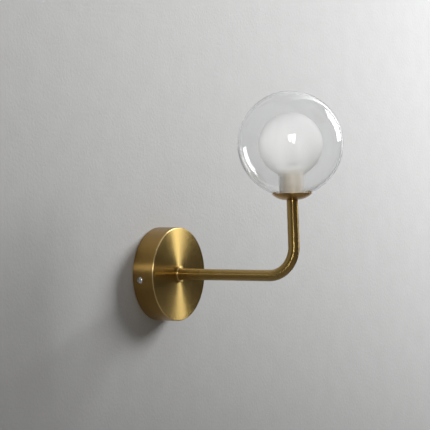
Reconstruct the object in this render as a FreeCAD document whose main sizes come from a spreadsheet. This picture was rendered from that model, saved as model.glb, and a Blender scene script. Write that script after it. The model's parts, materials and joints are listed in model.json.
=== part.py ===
"""Globe wall sconce in millimetres: canopy, bent arm, glass cup, double globe and capsule bulb.

The origin is the middle of the canopy's back, on the wall. +Y points into the wall and +Z up. The arm
leaves the canopy along -Y and bends up into a stem that leans a little towards the wall.

Three frames are used. The wall frame has its Z pointing out of the wall. The clocked frame is the wall
frame turned a few degrees about that Z, as the bracket and the canopy's screws are. The stem frame stands
where the arm's and the stem's centre lines meet, with its Z up the stem.
"""
import FreeCAD, Part
import math
import os
import Sketcher

DRIVING_DIMENSIONS = (
    ("CanopyDiameter", 100, "outside of the canopy"),
    ("CanopyDepth", 25.5, "wall to the canopy's face"),
    ("CanopyWall", 1, "sheet thickness of the canopy"),
    ("CanopyEdge", 1.2, "rounding round the canopy's face"),
    ("ScrewClock", 6.5, "turn of bracket and canopy screws, degrees"),
    ("ScrewDepth", 9, "wall to the canopy screws' centre line"),
    ("StrapThickness", 1.5, "sheet thickness of the bracket"),
    ("StrapWidth", 16, "width of the bracket's strap"),
    ("FixingCircle", 70, "circle through the two wall screw holes"),
    ("FixingHole", 4.5, "diameter of a wall screw hole"),
    ("CableHole", 12, "diameter of the mains cable's hole"),
    ("WireHeight", 7, "wall to the centre line of the block's wires"),
    ("PolePitch", 10, "spacing of the block's poles"),
    ("BlockHeight", 22.5, "canopy centre to the block's centre line"),
    ("ArmReach", 169.5, "wall to the stem's foot"),
    ("TubeDiameter", 12, "outside of the arm's tube"),
    ("TubeWall", 1.5, "wall of the arm's tube"),
    ("BendRadius", 30, "centre line radius of the bend"),
    ("StemLean", 2.3, "lean of the stem towards the wall, degrees"),
    ("NippleDiameter", 10, "outside of the threaded nipples"),
    ("NippleBore", 7.8, "bore of the nipples"),
    ("SocketDepth", 12, "depth of the sockets in the tube's ends"),
    ("RimHeight", 85.7, "stem's foot to the cup's rim, along the stem"),
    ("CupDiameter", 42.6, "outside of the cup's rim"),
    ("CupDepth", 6.8, "depth of the cup outside"),
    ("CupFlat", 10.6, "diameter of the cup's flat bottom"),
    ("CupWall", 1, "thickness of the cup"),
    ("GlobeDiameter", 110, "outside of the clear globe"),
    ("GlobeHeight", 137.3, "stem's foot to the clear globe's centre"),
    ("GlassWall", 2, "thickness of the glass"),
    ("FrostedDiameter", 67, "outside of the frosted globe"),
    ("FrostedHeight", 136.4, "stem's foot to the frosted globe's centre"),
    ("NeckDiameter", 26.7, "outside of the frosted globe's neck"),
    ("NeckFillet", 4, "rounding where the neck meets the frosted globe"),
    ("HolderDiameter", 18.6, "outside of the lampholder"),
    ("HolderTop", 110.5, "stem's foot to the top of the lampholder"),
    ("ThreadDiameter", 21.6, "outside of the thread for the glass"),
    ("ThreadPitch", 3.2, "pitch of that thread"),
    ("BulbDiameter", 15, "outside of the bulb's capsule"),
    ("BulbTop", 143.5, "stem's foot to the top of the capsule"),
    ("PinSpacing", 9, "spacing of the bulb's pins"),
    ("LeadDiameter", 2, "outside of an insulated lead"),
)


class Size:
    """A size with its value now and the expression that ties it to the sheet."""

    def __init__(self, value, text):
        self.value = float(value)
        self.text = text

    def __add__(self, other):
        return combine(self, "+", other, lambda a, b: a + b)

    def __radd__(self, other):
        return combine(other, "+", self, lambda a, b: a + b)

    def __sub__(self, other):
        return combine(self, "-", other, lambda a, b: a - b)

    def __rsub__(self, other):
        return combine(other, "-", self, lambda a, b: a - b)

    def __mul__(self, other):
        return combine(self, "*", other, lambda a, b: a * b)

    def __rmul__(self, other):
        return combine(other, "*", self, lambda a, b: a * b)

    def __truediv__(self, other):
        return combine(self, "/", other, lambda a, b: a / b)

    def __neg__(self):
        return Size(-self.value, f"(0 - {self.text})")


def size_of(thing):
    """Return a Size for a Size or a plain number."""
    if isinstance(thing, Size):
        return thing
    return Size(thing, f"({float(thing)})")


def combine(first, sign, second, rule):
    """Join two sizes by one arithmetic sign."""
    first, second = size_of(first), size_of(second)
    return Size(rule(first.value, second.value), f"({first.text} {sign} {second.text})")


def sine(angle):
    """Sine of an angle in degrees."""
    return Size(math.sin(math.radians(angle.value)), f"sin({angle.text})")


def cosine(angle):
    """Cosine of an angle in degrees."""
    return Size(math.cos(math.radians(angle.value)), f"cos({angle.text})")


def root(square):
    """Square root of a size."""
    return Size(math.sqrt(square.value), f"sqrt({square.text})")


def half_chord(radius, distance):
    """Half the chord of a circle that lies this far from its centre."""
    return root(size_of(radius) * radius - size_of(distance) * distance)


class Dimensions:
    """The spreadsheet of driving dimensions, read as attributes such as dims.ArmReach."""

    def __init__(self, doc):
        sheet = doc.addObject("Spreadsheet::Sheet", "Dims")
        for row, (alias, value, meaning) in enumerate(DRIVING_DIMENSIONS, start=1):
            sheet.set(f"A{row}", alias)
            sheet.set(f"B{row}", str(value))
            sheet.set(f"C{row}", meaning)
            sheet.setAlias(f"B{row}", alias)
            setattr(self, alias, Size(value, f"Dims.{alias}"))
        doc.recompute()


doc = FreeCAD.newDocument("GlobeWallSconce")
dims = Dimensions(doc)
sub_parts = []

# Sizes that several sub-parts share, worked out from the driving dimensions.
canopy_radius = dims.CanopyDiameter / 2
face_inside = dims.CanopyDepth - dims.CanopyWall
strap_face = dims.StrapThickness
screw_tip = 0.1
earth_up = -11.8
ring_thickness = 0.8
crimp_radius = 1.75
block_bar = 9.5
insert_radius = 2.6
insert_bore = 1.6
clamp_offset = 4
clamp_seat = 3
small_head = 1.8
small_slot = 0.7
wire_turn = dims.BlockHeight - 14
wire_end = dims.BlockHeight - 1.5
tab_outside = canopy_radius - dims.CanopyWall - 1
tube_radius = dims.TubeDiameter / 2
tube_bore = tube_radius - dims.TubeWall
nipple_radius = dims.NippleDiameter / 2
nipple_hole = nipple_radius + 0.1
nipple_bore = dims.NippleBore / 2
nipple_start = 14
washer_thickness = 0.8
nut_flats = 14
collar_floor = 1
tube_root = dims.CanopyDepth + collar_floor
cup_radius = dims.CupDiameter / 2
cup_flat = dims.CupFlat / 2
cup_bottom = dims.RimHeight - dims.CupDepth
cup_spread = cup_radius - cup_flat
cup_arc = (cup_spread * cup_spread + dims.CupDepth * dims.CupDepth) / (2 * dims.CupDepth)
cup_centre = cup_bottom + cup_arc
cup_inside_arc = cup_arc - dims.CupWall
nut_height = 3
cup_nut_seat = cup_bottom + dims.CupWall + 0.08
skirt_seat = cup_nut_seat + nut_height
globe_radius = dims.GlobeDiameter / 2
frosted_radius = dims.FrostedDiameter / 2
neck_radius = dims.NeckDiameter / 2
neck_bore = neck_radius - dims.GlassWall
glass_bottom = dims.GlobeHeight - half_chord(globe_radius, neck_radius)
foot_radius = 18
frosted_inside = frosted_radius - dims.GlassWall
fillet_out = neck_radius + dims.NeckFillet
fillet_reach = frosted_radius + dims.NeckFillet
fillet_centre = dims.FrostedHeight - half_chord(fillet_reach, fillet_out)
holder_radius = dims.HolderDiameter / 2
skirt_top = skirt_seat + 8
lead_radius = dims.LeadDiameter / 2
lead_offset = 1.3
holder_low = skirt_seat + 4.2
holder_screw_offset = 6.6
holder_screw_radius = 1.1
pinch_foot = dims.HolderTop - 5.8
pinch_height = 10
pin_foot = pinch_foot - 9.5


# Frames -----------------------------------------------------------------------------------------------

WALL_TURN = FreeCAD.Rotation(FreeCAD.Vector(1, 0, 0), 90)
CLOCKED_TURN = WALL_TURN * FreeCAD.Rotation(FreeCAD.Vector(0, 0, 1), dims.ScrewClock.value)


def clocked_point(right, up, out):
    """World coordinates of a point in the clocked frame."""
    cos_clock, sin_clock = cosine(dims.ScrewClock), sine(dims.ScrewClock)
    return (right * cos_clock - up * sin_clock, -size_of(out), right * sin_clock + up * cos_clock)


def stem_point(right, back, up):
    """World coordinates of a point in the stem frame."""
    cos_lean, sin_lean = cosine(dims.StemLean), sine(dims.StemLean)
    return (right, up * sin_lean + back * cos_lean - dims.ArmReach, up * cos_lean - back * sin_lean)


def place(thing, point, turn):
    """Put a sub-part's own origin at a world point, turned by a rotation."""
    thing.Placement = FreeCAD.Placement(FreeCAD.Vector(*[size_of(c).value for c in point]), turn)
    for axis, coordinate in zip("xyz", point):
        thing.setExpression(f"Placement.Base.{axis}", size_of(coordinate).text)


def place_on_wall(thing):
    """Put a sub-part in the wall frame."""
    place(thing, (0, 0, 0), WALL_TURN)


def place_clocked(thing, right=0, up=0, out=0, turn=FreeCAD.Rotation()):
    """Put a sub-part's origin at a point of the clocked frame, turned within it."""
    place(thing, clocked_point(size_of(right), size_of(up), out), CLOCKED_TURN * turn)


def place_on_stem(thing, right=0, back=0):
    """Put a sub-part in the stem frame, its own axis moved sideways if asked."""
    lean = FreeCAD.Rotation(FreeCAD.Vector(-1, 0, 0), dims.StemLean.value)
    place(thing, stem_point(size_of(right), size_of(back), size_of(0)), lean)
    thing.setExpression("Placement.Rotation.Angle", "Dims.StemLean")


# Sketches and features --------------------------------------------------------------------------------

def new_body(label, several=False):
    """Start a sub-part. One that is a group of separate solids says so."""
    body = doc.addObject("PartDesign::Body", label)
    body.Label = label
    body.AllowCompound = several
    sub_parts.append(body)
    return body


def origin_feature(body, role):
    """The body's own origin plane or axis with this role."""
    return next(feature for feature in body.Origin.OriginFeatures if feature.Role == role)


def new_sketch(body, plane, height=0):
    """Start a sketch on an origin plane of the body, lifted along the plane's normal."""
    sketch = body.newObject("Sketcher::SketchObject", f"{body.Label}_sketch")
    sketch.AttachmentSupport = [(origin_feature(body, plane), "")]
    sketch.MapMode = "FlatFace"
    sketch.setExpression("AttachmentOffset.Base.z", size_of(height).text)
    return sketch


def constrain(sketch, kind, size, *places):
    """Add a dimension to the sketch and tie it to the sheet."""
    index = sketch.addConstraint(Sketcher.Constraint(kind, *places, size.value))
    sketch.setExpression(f"Constraints[{index}]", size.text)


def fix_point(sketch, edge, end, across, up):
    """Fix one end of an edge at a point given from the sketch's origin."""
    if across.value == 0:
        sketch.addConstraint(Sketcher.Constraint("PointOnObject", edge, end, -2))
    else:
        constrain(sketch, "DistanceX", across, -1, 1, edge, end)
    if up.value == 0:
        sketch.addConstraint(Sketcher.Constraint("PointOnObject", edge, end, -1))
    else:
        constrain(sketch, "DistanceY", up, -1, 1, edge, end)


def arc_edge(start, end, radius):
    """A minor arc between two points: counter-clockwise for a positive radius, else clockwise."""
    chord = end - start
    middle = (start + end) / 2
    reach = math.sqrt(max(radius * radius - chord.Length ** 2 / 4, 0))
    left = FreeCAD.Vector(-chord.y, chord.x, 0).normalize()
    centre = middle + left * math.copysign(reach, radius)
    crown = centre + (middle - centre).normalize() * abs(radius) if reach else middle - left * radius
    return Part.Arc(start, crown, end)


def draw(sketch, points):
    """Draw a closed outline. A point is (x, y), or (x, y, radius) where an arc leads to the next."""
    corners = [tuple(size_of(value) for value in point) for point in points]
    places = [FreeCAD.Vector(corner[0].value, corner[1].value, 0) for corner in corners]
    edges = []
    for index, corner in enumerate(corners):
        start, end = places[index], places[(index + 1) % len(places)]
        if len(corner) == 3:
            shape = arc_edge(start, end, corner[2].value)
        else:
            shape = Part.LineSegment(start, end)
        edges.append(sketch.addGeometry(shape, False))
    for index, corner in enumerate(corners):
        clockwise = len(corner) == 3 and corner[2].value < 0
        first, last = (2, 1) if clockwise else (1, 2)
        following = corners[(index + 1) % len(corners)]
        next_first = 2 if len(following) == 3 and following[2].value < 0 else 1
        next_edge = edges[(index + 1) % len(corners)]
        sketch.addConstraint(Sketcher.Constraint("Coincident", edges[index], last, next_edge, next_first))
        fix_point(sketch, edges[index], first, corner[0], corner[1])
        if len(corner) == 3:
            radius = -corner[2] if clockwise else corner[2]
            constrain(sketch, "Radius", radius, edges[index])


def draw_circle(sketch, across, up, radius):
    """Draw a circle about a point."""
    across, up, radius = size_of(across), size_of(up), size_of(radius)
    centre = FreeCAD.Vector(across.value, up.value, 0)
    edge = sketch.addGeometry(Part.Circle(centre, FreeCAD.Vector(0, 0, 1), radius.value), False)
    constrain(sketch, "Radius", radius, edge)
    fix_point(sketch, edge, 3, across, up)


def box_outline(width, depth, across=0, up=0):
    """Corners of a rectangle about a point."""
    half_width, half_depth = size_of(width) / 2, size_of(depth) / 2
    return [(across - half_width, up - half_depth), (across + half_width, up - half_depth),
            (across + half_width, up + half_depth), (across - half_width, up + half_depth)]


def slot_outline(length, width, across=0, up=0):
    """Corners of a slot with round ends, along the sketch's X."""
    half, end = size_of(length) / 2, size_of(width) / 2
    straight = half - end
    return [(across - straight, up - end), (across + straight, up - end, end), (across + half, up, end),
            (across + straight, up + end), (across - straight, up + end, end), (across - half, up, end)]


def spin(body, *outlines):
    """Revolve outlines drawn as (radius, height) about the body's Z axis."""
    sketch = new_sketch(body, "XZ_Plane")
    for points in outlines:
        draw(sketch, points)
    turned = body.newObject("PartDesign::Revolution", f"{body.Label}_spin")
    turned.Profile = sketch
    turned.ReferenceAxis = (sketch, ["V_Axis"])
    turned.Angle = 360
    return turned


def pad(body, sketch, length):
    """Raise a sketch into a solid."""
    raised = body.newObject("PartDesign::Pad", f"{body.Label}_pad")
    raised.Profile = sketch
    raised.setExpression("Length", size_of(length).text)
    return raised


def cut(body, sketch, depth=None):
    """Cut a sketch down from its own plane by a depth, or right through both ways with none."""
    removed = body.newObject("PartDesign::Pocket", f"{body.Label}_cut")
    removed.Profile = sketch
    if depth is None:
        removed.Type = "ThroughAll"
        removed.Midplane = True
    else:
        removed.setExpression("Length", size_of(depth).text)
    return removed


def row(body, features, role, spacing, count):
    """Repeat features along an origin axis of the body."""
    pattern = body.newObject("PartDesign::LinearPattern", f"{body.Label}_row")
    pattern.Originals = features
    pattern.Direction = (origin_feature(body, role), [""])
    pattern.setExpression("Length", (spacing * (count - 1)).text)
    pattern.Occurrences = count
    body.Tip = pattern
    return pattern


def ring_of(body, features, count):
    """Repeat features about the body's Z axis."""
    pattern = body.newObject("PartDesign::PolarPattern", f"{body.Label}_ring")
    pattern.Originals = features
    pattern.Axis = (origin_feature(body, "Z_Axis"), [""])
    pattern.Angle = 360
    pattern.Occurrences = count
    body.Tip = pattern
    return pattern


def cut_slot(body, top, width, length, depth, cross=False):
    """Cut a screwdriver slot, or a cross recess, into a head's top."""
    sketch = new_sketch(body, "XY_Plane", top)
    if cross:
        near, far = width / 2, length / 2
        draw(sketch, [(far, -near), (far, near), (near, near), (near, far), (-near, far), (-near, near),
                      (-far, near), (-far, -near), (-near, -near), (-near, -far), (near, -far),
                      (near, -near)])
    else:
        draw(sketch, box_outline(length, width))
    cut(body, sketch, depth)


# Threads, nuts and leads --------------------------------------------------------------------------------

def make_nipple(label, low, high):
    """A hollow threaded nipple with chamfered ends, along the body's Z."""
    chamfer = 0.5
    body = new_body(label)
    spin(body, [(nipple_bore, low), (nipple_radius - chamfer, low), (nipple_radius, low + chamfer),
                (nipple_radius, high - chamfer), (nipple_radius - chamfer, high), (nipple_bore, high)])
    return body


def make_hex_nut(label, across_flats, low, height):
    """A hex nut with both faces chamfered, along the body's Z."""
    side = size_of(across_flats) / math.sqrt(3)
    flat_radius = size_of(across_flats) / 2
    body = new_body(label)
    sketch = new_sketch(body, "XY_Plane", low)
    corners = [(side * round(math.cos(math.radians(60 * k)), 9),
                side * round(math.sin(math.radians(60 * k)), 9)) for k in range(6)]
    draw(sketch, corners)
    draw_circle(sketch, 0, 0, nipple_radius + 0.04)
    pad(body, sketch, height)
    rim, slope, spare = flat_radius * 0.95, 0.7, 2
    sketch = new_sketch(body, "XZ_Plane")
    draw(sketch, [(rim, low), (side + spare, low + (side + spare - rim) * slope), (side + spare, low - 1),
                  (rim, low - 1)])
    high = low + height
    draw(sketch, [(rim, high), (rim, high + 1), (side + spare, high + 1),
                  (side + spare, high - (side + spare - rim) * slope)])
    chamfers = body.newObject("PartDesign::Groove", f"{label}_chamfers")
    chamfers.Profile = sketch
    chamfers.ReferenceAxis = (sketch, ["V_Axis"])
    chamfers.Angle = 360
    return body


def corner_arc(before, corner, after, radius):
    """Tangent points and crown of an arc that rounds a corner between two straight runs."""
    towards_start = (before - corner).normalize()
    towards_end = (after - corner).normalize()
    half_angle = towards_start.getAngle(towards_end) / 2
    setback = radius / math.tan(half_angle)
    bisector = (towards_start + towards_end).normalize()
    centre = corner + bisector * (radius / math.sin(half_angle))
    return corner + towards_start * setback, centre - bisector * radius, corner + towards_end * setback


def rounded_wire(points, radii):
    """Straight runs through the points, each inner corner rounded by its own radius."""
    edges = []
    run_start = points[0]
    for before, corner, after, radius in zip(points, points[1:], points[2:], radii):
        enter, crown, leave = corner_arc(before, corner, after, radius)
        edges.append(Part.LineSegment(run_start, enter).toShape())
        edges.append(Part.Arc(enter, crown, leave).toShape())
        run_start = leave
    edges.append(Part.LineSegment(run_start, points[-1]).toShape())
    return Part.Wire(edges)


def make_lead(label, points, radii, radius):
    """A round lead along straight runs and arcs, given in world coordinates."""
    route = [FreeCAD.Vector(*[size_of(c).value for c in point]) for point in points]
    wire = rounded_wire(route, radii)
    section = Part.Wire(Part.makeCircle(size_of(radius).value, route[0], route[1] - route[0]))
    lead = doc.addObject("Part::Feature", label)
    lead.Label = label
    lead.Shape = wire.makePipeShell([section], True, True)
    sub_parts.append(lead)
    by_volume = lead.Shape.Volume / Part.Face(section).Area
    print(f"{label}: {wire.Length:.1f} mm long, {by_volume:.1f} mm by its volume")
    return lead


# On the wall ------------------------------------------------------------------------------------------

def make_wall_bracket():
    """Steel strap on the wall, with tabs for the canopy screws and an ear for the terminal block."""
    tab_height, disc_radius, ear_half, ear_top = 14, 19, 15, 36
    slot_length, slot_width, slot_offset = 8.5, 4.5, 25
    earth_thread, block_thread, tab_thread = 1.8, 1.3, 2.05
    half_width = dims.StrapWidth / 2
    waist = half_chord(disc_radius, half_width)
    shoulder = half_chord(disc_radius, ear_half)
    body = new_body("wall_bracket")
    plate = new_sketch(body, "XY_Plane")
    draw(plate, [(-tab_outside, -half_width), (-waist, -half_width, disc_radius),
                 (waist, -half_width), (tab_outside, -half_width), (tab_outside, half_width),
                 (waist, half_width, disc_radius), (ear_half, shoulder), (ear_half, ear_top),
                 (-ear_half, ear_top), (-ear_half, shoulder, disc_radius), (-waist, half_width),
                 (-tab_outside, half_width)])
    pad(body, plate, strap_face)
    tabs = new_sketch(body, "XY_Plane")
    tab_middle = tab_outside - strap_face / 2
    draw(tabs, box_outline(strap_face, dims.StrapWidth, tab_middle))
    draw(tabs, box_outline(strap_face, dims.StrapWidth, -tab_middle))
    pad(body, tabs, tab_height)
    holes = new_sketch(body, "XY_Plane")
    draw_circle(holes, 0, 0, dims.CableHole / 2)
    draw_circle(holes, 0, earth_up, earth_thread)
    for side in (-1, 1):
        draw_circle(holes, side * dims.FixingCircle / 2, 0, dims.FixingHole / 2)
        draw(holes, slot_outline(slot_length, slot_width, side * slot_offset))
        draw_circle(holes, side * dims.PolePitch / 2, dims.BlockHeight, block_thread)
    cut(body, holes)
    threads = new_sketch(body, "YZ_Plane")
    draw_circle(threads, 0, dims.ScrewDepth, tab_thread)
    cut(body, threads)
    place_clocked(body)


def make_earth_screw():
    """Slotted screw that clamps the ring terminal to the bracket."""
    shank, head, rounding, head_height = 1.75, 3.6, 0.5, 2.4
    seat = strap_face + ring_thickness
    top = seat + head_height
    body = new_body("earth_screw")
    spin(body, [(0, screw_tip), (shank, screw_tip), (shank, seat), (head, seat),
                (head, top - rounding, rounding), (head - rounding, top), (0, top)])
    cut_slot(body, top, 1, 8, 1)
    place_clocked(body, up=earth_up)


def make_earth_ring_terminal():
    """Tinned ring under the earth screw, with the barrel that is crimped on the lead."""
    ring_radius, ring_hole, barrel_end, barrel_length = 3.9, 2, -11, 5
    body = new_body("earth_ring_terminal")
    ring = new_sketch(body, "XY_Plane", strap_face)
    draw_circle(ring, 0, 0, ring_radius)
    draw_circle(ring, 0, 0, ring_hole)
    pad(body, ring, ring_thickness)
    tongue = new_sketch(body, "XY_Plane", strap_face)
    draw(tongue, box_outline(4, 3, -5.2))
    pad(body, tongue, ring_thickness)
    barrel = new_sketch(body, "YZ_Plane", barrel_end)
    draw_circle(barrel, 0, strap_face + crimp_radius, crimp_radius)
    draw_circle(barrel, 0, strap_face + crimp_radius, lead_radius + 0.05)
    pad(body, barrel, barrel_length)
    place_clocked(body, up=earth_up)


def make_terminal_block_housing():
    """Moulded body of the three-pole block: a low bar with a tower over each pole."""
    tower_top, well_radius, well_depth, fixing_radius = 13, 2, 6, 1.5
    body = new_body("terminal_block_housing")
    bar = new_sketch(body, "XY_Plane", strap_face)
    draw(bar, box_outline(30, 17))
    pad(body, bar, block_bar)
    tower = new_sketch(body, "XY_Plane", strap_face)
    draw(tower, box_outline(6.2, 14, -dims.PolePitch))
    towers = pad(body, tower, tower_top)
    row(body, [towers], "X_Axis", dims.PolePitch, 3)
    bore = new_sketch(body, "XZ_Plane")
    draw_circle(bore, -dims.PolePitch, dims.WireHeight, insert_radius + 0.05)
    bores = cut(body, bore)
    row(body, [bores], "X_Axis", dims.PolePitch, 3)
    wells = new_sketch(body, "XY_Plane", strap_face + tower_top)
    for end in (-1, 1):
        draw_circle(wells, -dims.PolePitch, end * clamp_offset, well_radius)
    screw_wells = cut(body, wells, well_depth)
    row(body, [screw_wells], "X_Axis", dims.PolePitch, 3)
    fixing = new_sketch(body, "XY_Plane")
    for side in (-1, 1):
        draw_circle(fixing, side * dims.PolePitch / 2, 0, fixing_radius)
    cut(body, fixing)
    place_clocked(body, up=dims.BlockHeight)


def make_terminal_inserts():
    """Three brass tubes, each with two tapped holes for its clamp screws."""
    length, tapped_radius = 15, 1.25
    body = new_body("terminal_inserts", several=True)
    tube = new_sketch(body, "XZ_Plane", -length / 2)
    draw_circle(tube, -dims.PolePitch, dims.WireHeight, insert_radius)
    draw_circle(tube, -dims.PolePitch, dims.WireHeight, insert_bore)
    tubes = pad(body, tube, length)
    holes = new_sketch(body, "XY_Plane", dims.WireHeight + clamp_seat)
    for end in (-1, 1):
        draw_circle(holes, -dims.PolePitch, end * clamp_offset, tapped_radius)
    tapped = cut(body, holes, clamp_seat)
    row(body, [tubes, tapped], "X_Axis", dims.PolePitch, 3)
    place_clocked(body, up=dims.BlockHeight)


def make_terminal_screws():
    """Six slotted clamp screws, two over each pole, that press on the leads."""
    head_height = 2.6
    tip = dims.WireHeight + lead_radius + 0.05
    seat = dims.WireHeight + clamp_seat
    top = seat + head_height
    body = new_body("terminal_screws", several=True)
    shank = new_sketch(body, "XY_Plane", tip)
    draw_circle(shank, -dims.PolePitch, -clamp_offset, 1.2)
    shanks = pad(body, shank, seat - tip)
    head = new_sketch(body, "XY_Plane", seat)
    draw_circle(head, -dims.PolePitch, -clamp_offset, small_head)
    heads = pad(body, head, head_height)
    slot = new_sketch(body, "XY_Plane", top)
    draw(slot, box_outline(4, small_slot, -dims.PolePitch, -clamp_offset))
    slots = cut(body, slot, 0.9)
    pattern = row(body, [shanks, heads, slots], "X_Axis", dims.PolePitch, 3)
    pattern.Direction2 = (origin_feature(body, "Y_Axis"), [""])
    pattern.Length2 = 2 * clamp_offset
    pattern.Occurrences2 = 2
    place_clocked(body, up=dims.BlockHeight)


def make_terminal_fixing_screws():
    """Two slotted screws that hold the block to the bracket's ear, between its towers."""
    head_height = 1.5
    seat = strap_face + block_bar
    top = seat + head_height
    body = new_body("terminal_fixing_screws", several=True)
    shank = new_sketch(body, "XY_Plane", screw_tip)
    draw_circle(shank, -dims.PolePitch / 2, 0, 1.25)
    shanks = pad(body, shank, seat - screw_tip)
    head = new_sketch(body, "XY_Plane", seat)
    draw_circle(head, -dims.PolePitch / 2, 0, small_head)
    heads = pad(body, head, head_height)
    slot = new_sketch(body, "XY_Plane", top)
    draw(slot, box_outline(4, small_slot, -dims.PolePitch / 2))
    slots = cut(body, slot, 0.7)
    row(body, [shanks, heads, slots], "X_Axis", dims.PolePitch, 2)
    place_clocked(body, up=dims.BlockHeight)


# Canopy -----------------------------------------------------------------------------------------------

def make_canopy_shell():
    """Round cover: a flat face, a rounded edge and an open back against the wall."""
    inside_edge, screw_hole = 0.6, 2.2
    inside = canopy_radius - dims.CanopyWall
    body = new_body("canopy_shell")
    spin(body, [(nipple_hole, face_inside), (inside - inside_edge, face_inside, -inside_edge),
                (inside, face_inside - inside_edge), (inside, 0), (canopy_radius, 0),
                (canopy_radius, dims.CanopyDepth - dims.CanopyEdge, dims.CanopyEdge),
                (canopy_radius - dims.CanopyEdge, dims.CanopyDepth), (nipple_hole, dims.CanopyDepth)])
    holes = new_sketch(body, "YZ_Plane")
    draw_circle(holes, 0, dims.ScrewDepth, screw_hole)
    cut(body, holes)
    place_clocked(body)


def make_canopy_screw(label, side):
    """Domed screw with a cross recess, through the canopy's side into the bracket's tab."""
    head_radius, head_edge, head_height = 3.6, 0.6, 2.3
    shank, length, point = 1.98, 8, 0.4
    rise = head_height - head_edge
    dome = (head_radius ** 2 + rise ** 2) / (2 * rise)
    body = new_body(label)
    spin(body, [(0, -length), (shank - point, -length), (shank, point - length), (shank, 0),
                (head_radius, 0), (head_radius, head_edge, dome), (0, head_height)])
    cut_slot(body, head_height, 1, 4.2, 1.3, cross=True)
    outwards = FreeCAD.Rotation(FreeCAD.Vector(0, 1, 0), side * 90)
    place_clocked(body, right=side * (canopy_radius + 0.02), out=dims.ScrewDepth, turn=outwards)


# Arm --------------------------------------------------------------------------------------------------

def make_arm_collar():
    """Turned ring on the canopy's face with a socket that the tube stands in."""
    outside, height, rounding, foot = 8.6, 3.2, 0.8, 0.4
    top = dims.CanopyDepth + height
    socket = tube_radius + 0.05
    body = new_body("arm_collar")
    spin(body, [(nipple_hole, dims.CanopyDepth), (outside - foot, dims.CanopyDepth, foot),
                (outside, dims.CanopyDepth + foot), (outside, top - rounding, rounding),
                (outside - rounding, top), (socket, top), (socket, tube_root), (nipple_hole, tube_root)])
    place_on_wall(body)


def make_arm_nipple():
    """Nipple from inside the canopy into the tube's root."""
    body = make_nipple("arm_nipple", size_of(nipple_start), tube_root + dims.SocketDepth - 1)
    place_on_wall(body)


def make_arm_lock_washer():
    """Toothed washer between the nut and the canopy."""
    tooth_root, tooth_tip, root_half, tip_half, teeth = 7, 8.4, 1.1, 0.6, 12
    seat = face_inside - washer_thickness
    body = new_body("arm_lock_washer")
    ring = new_sketch(body, "XY_Plane", seat)
    draw_circle(ring, 0, 0, tooth_root)
    draw_circle(ring, 0, 0, nipple_hole)
    pad(body, ring, washer_thickness)
    tooth = new_sketch(body, "XY_Plane", seat)
    draw(tooth, [(tooth_root - 0.4, -root_half), (tooth_tip, -tip_half), (tooth_tip, tip_half),
                 (tooth_root - 0.4, root_half)])
    ring_of(body, [pad(body, tooth, washer_thickness)], teeth)
    place_on_wall(body)


def make_arm_nut():
    """Hex nut that pulls the arm's collar against the canopy."""
    height = 4
    body = make_hex_nut("arm_nut", nut_flats, face_inside - washer_thickness - height, height)
    place_on_wall(body)


def make_cable_bush():
    """Plastic bush that keeps the leads off the nipple's mouth."""
    bore, flange, flange_height, length = 3, 5.2, 1.4, 6
    fit = nipple_bore - 0.05
    body = new_body("cable_bush")
    spin(body, [(bore, nipple_start - flange_height), (flange, nipple_start - flange_height),
                (flange, nipple_start), (fit, nipple_start), (fit, nipple_start + length),
                (bore, nipple_start + length)])
    place_on_wall(body)


def make_arm_tube():
    """The tube: level from the collar, one bend, then up the stem, with a wider socket in each end."""
    cos_lean, sin_lean = cosine(dims.StemLean), sine(dims.StemLean)
    bend_setback = dims.BendRadius * (1 + sin_lean) / cos_lean
    bend_start = dims.ArmReach - bend_setback
    body = new_body("arm_tube")
    spine = new_sketch(body, "YZ_Plane")
    corner = FreeCAD.Vector(-dims.ArmReach.value, 0, 0)
    lean = FreeCAD.Vector(sin_lean.value, cos_lean.value, 0)
    first = FreeCAD.Vector(-tube_root.value, 0, 0)
    last = corner + lean * cup_bottom.value
    enter, crown, leave = corner_arc(first, corner, last, dims.BendRadius.value)
    level = spine.addGeometry(Part.LineSegment(first, enter), False)
    bend = spine.addGeometry(Part.Arc(enter, crown, leave), False)
    stem = spine.addGeometry(Part.LineSegment(leave, last), False)
    bend_first, bend_last = (1, 2)
    if spine.getPoint(bend, 1).distanceToPoint(enter) > 1:
        bend_first, bend_last = (2, 1)
    spine.addConstraint(Sketcher.Constraint("Coincident", level, 2, bend, bend_first))
    spine.addConstraint(Sketcher.Constraint("Coincident", bend, bend_last, stem, 1))
    fix_point(spine, level, 1, -tube_root, size_of(0))
    fix_point(spine, level, 2, -bend_start, size_of(0))
    fix_point(spine, stem, 1, bend_setback * sin_lean - dims.ArmReach, bend_setback * cos_lean)
    fix_point(spine, stem, 2, cup_bottom * sin_lean - dims.ArmReach, cup_bottom * cos_lean)
    constrain(spine, "Radius", dims.BendRadius, bend)
    ring = new_sketch(body, "XZ_Plane", tube_root)
    draw_circle(ring, 0, 0, tube_radius)
    draw_circle(ring, 0, 0, tube_bore)
    doc.recompute()
    pipe = body.newObject("PartDesign::AdditivePipe", "arm_tube_pipe")
    pipe.Profile = ring
    pipe.Spine = spine
    socket_radius, overlap = nipple_radius + 0.04, 0.5
    cut_socket(body, -tube_root - dims.SocketDepth, -tube_root + overlap, socket_radius, level=True)
    cut_socket(body, cup_bottom - dims.SocketDepth, cup_bottom + overlap, socket_radius, level=False)
    place(body, (0, 0, 0), FreeCAD.Rotation())


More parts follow.
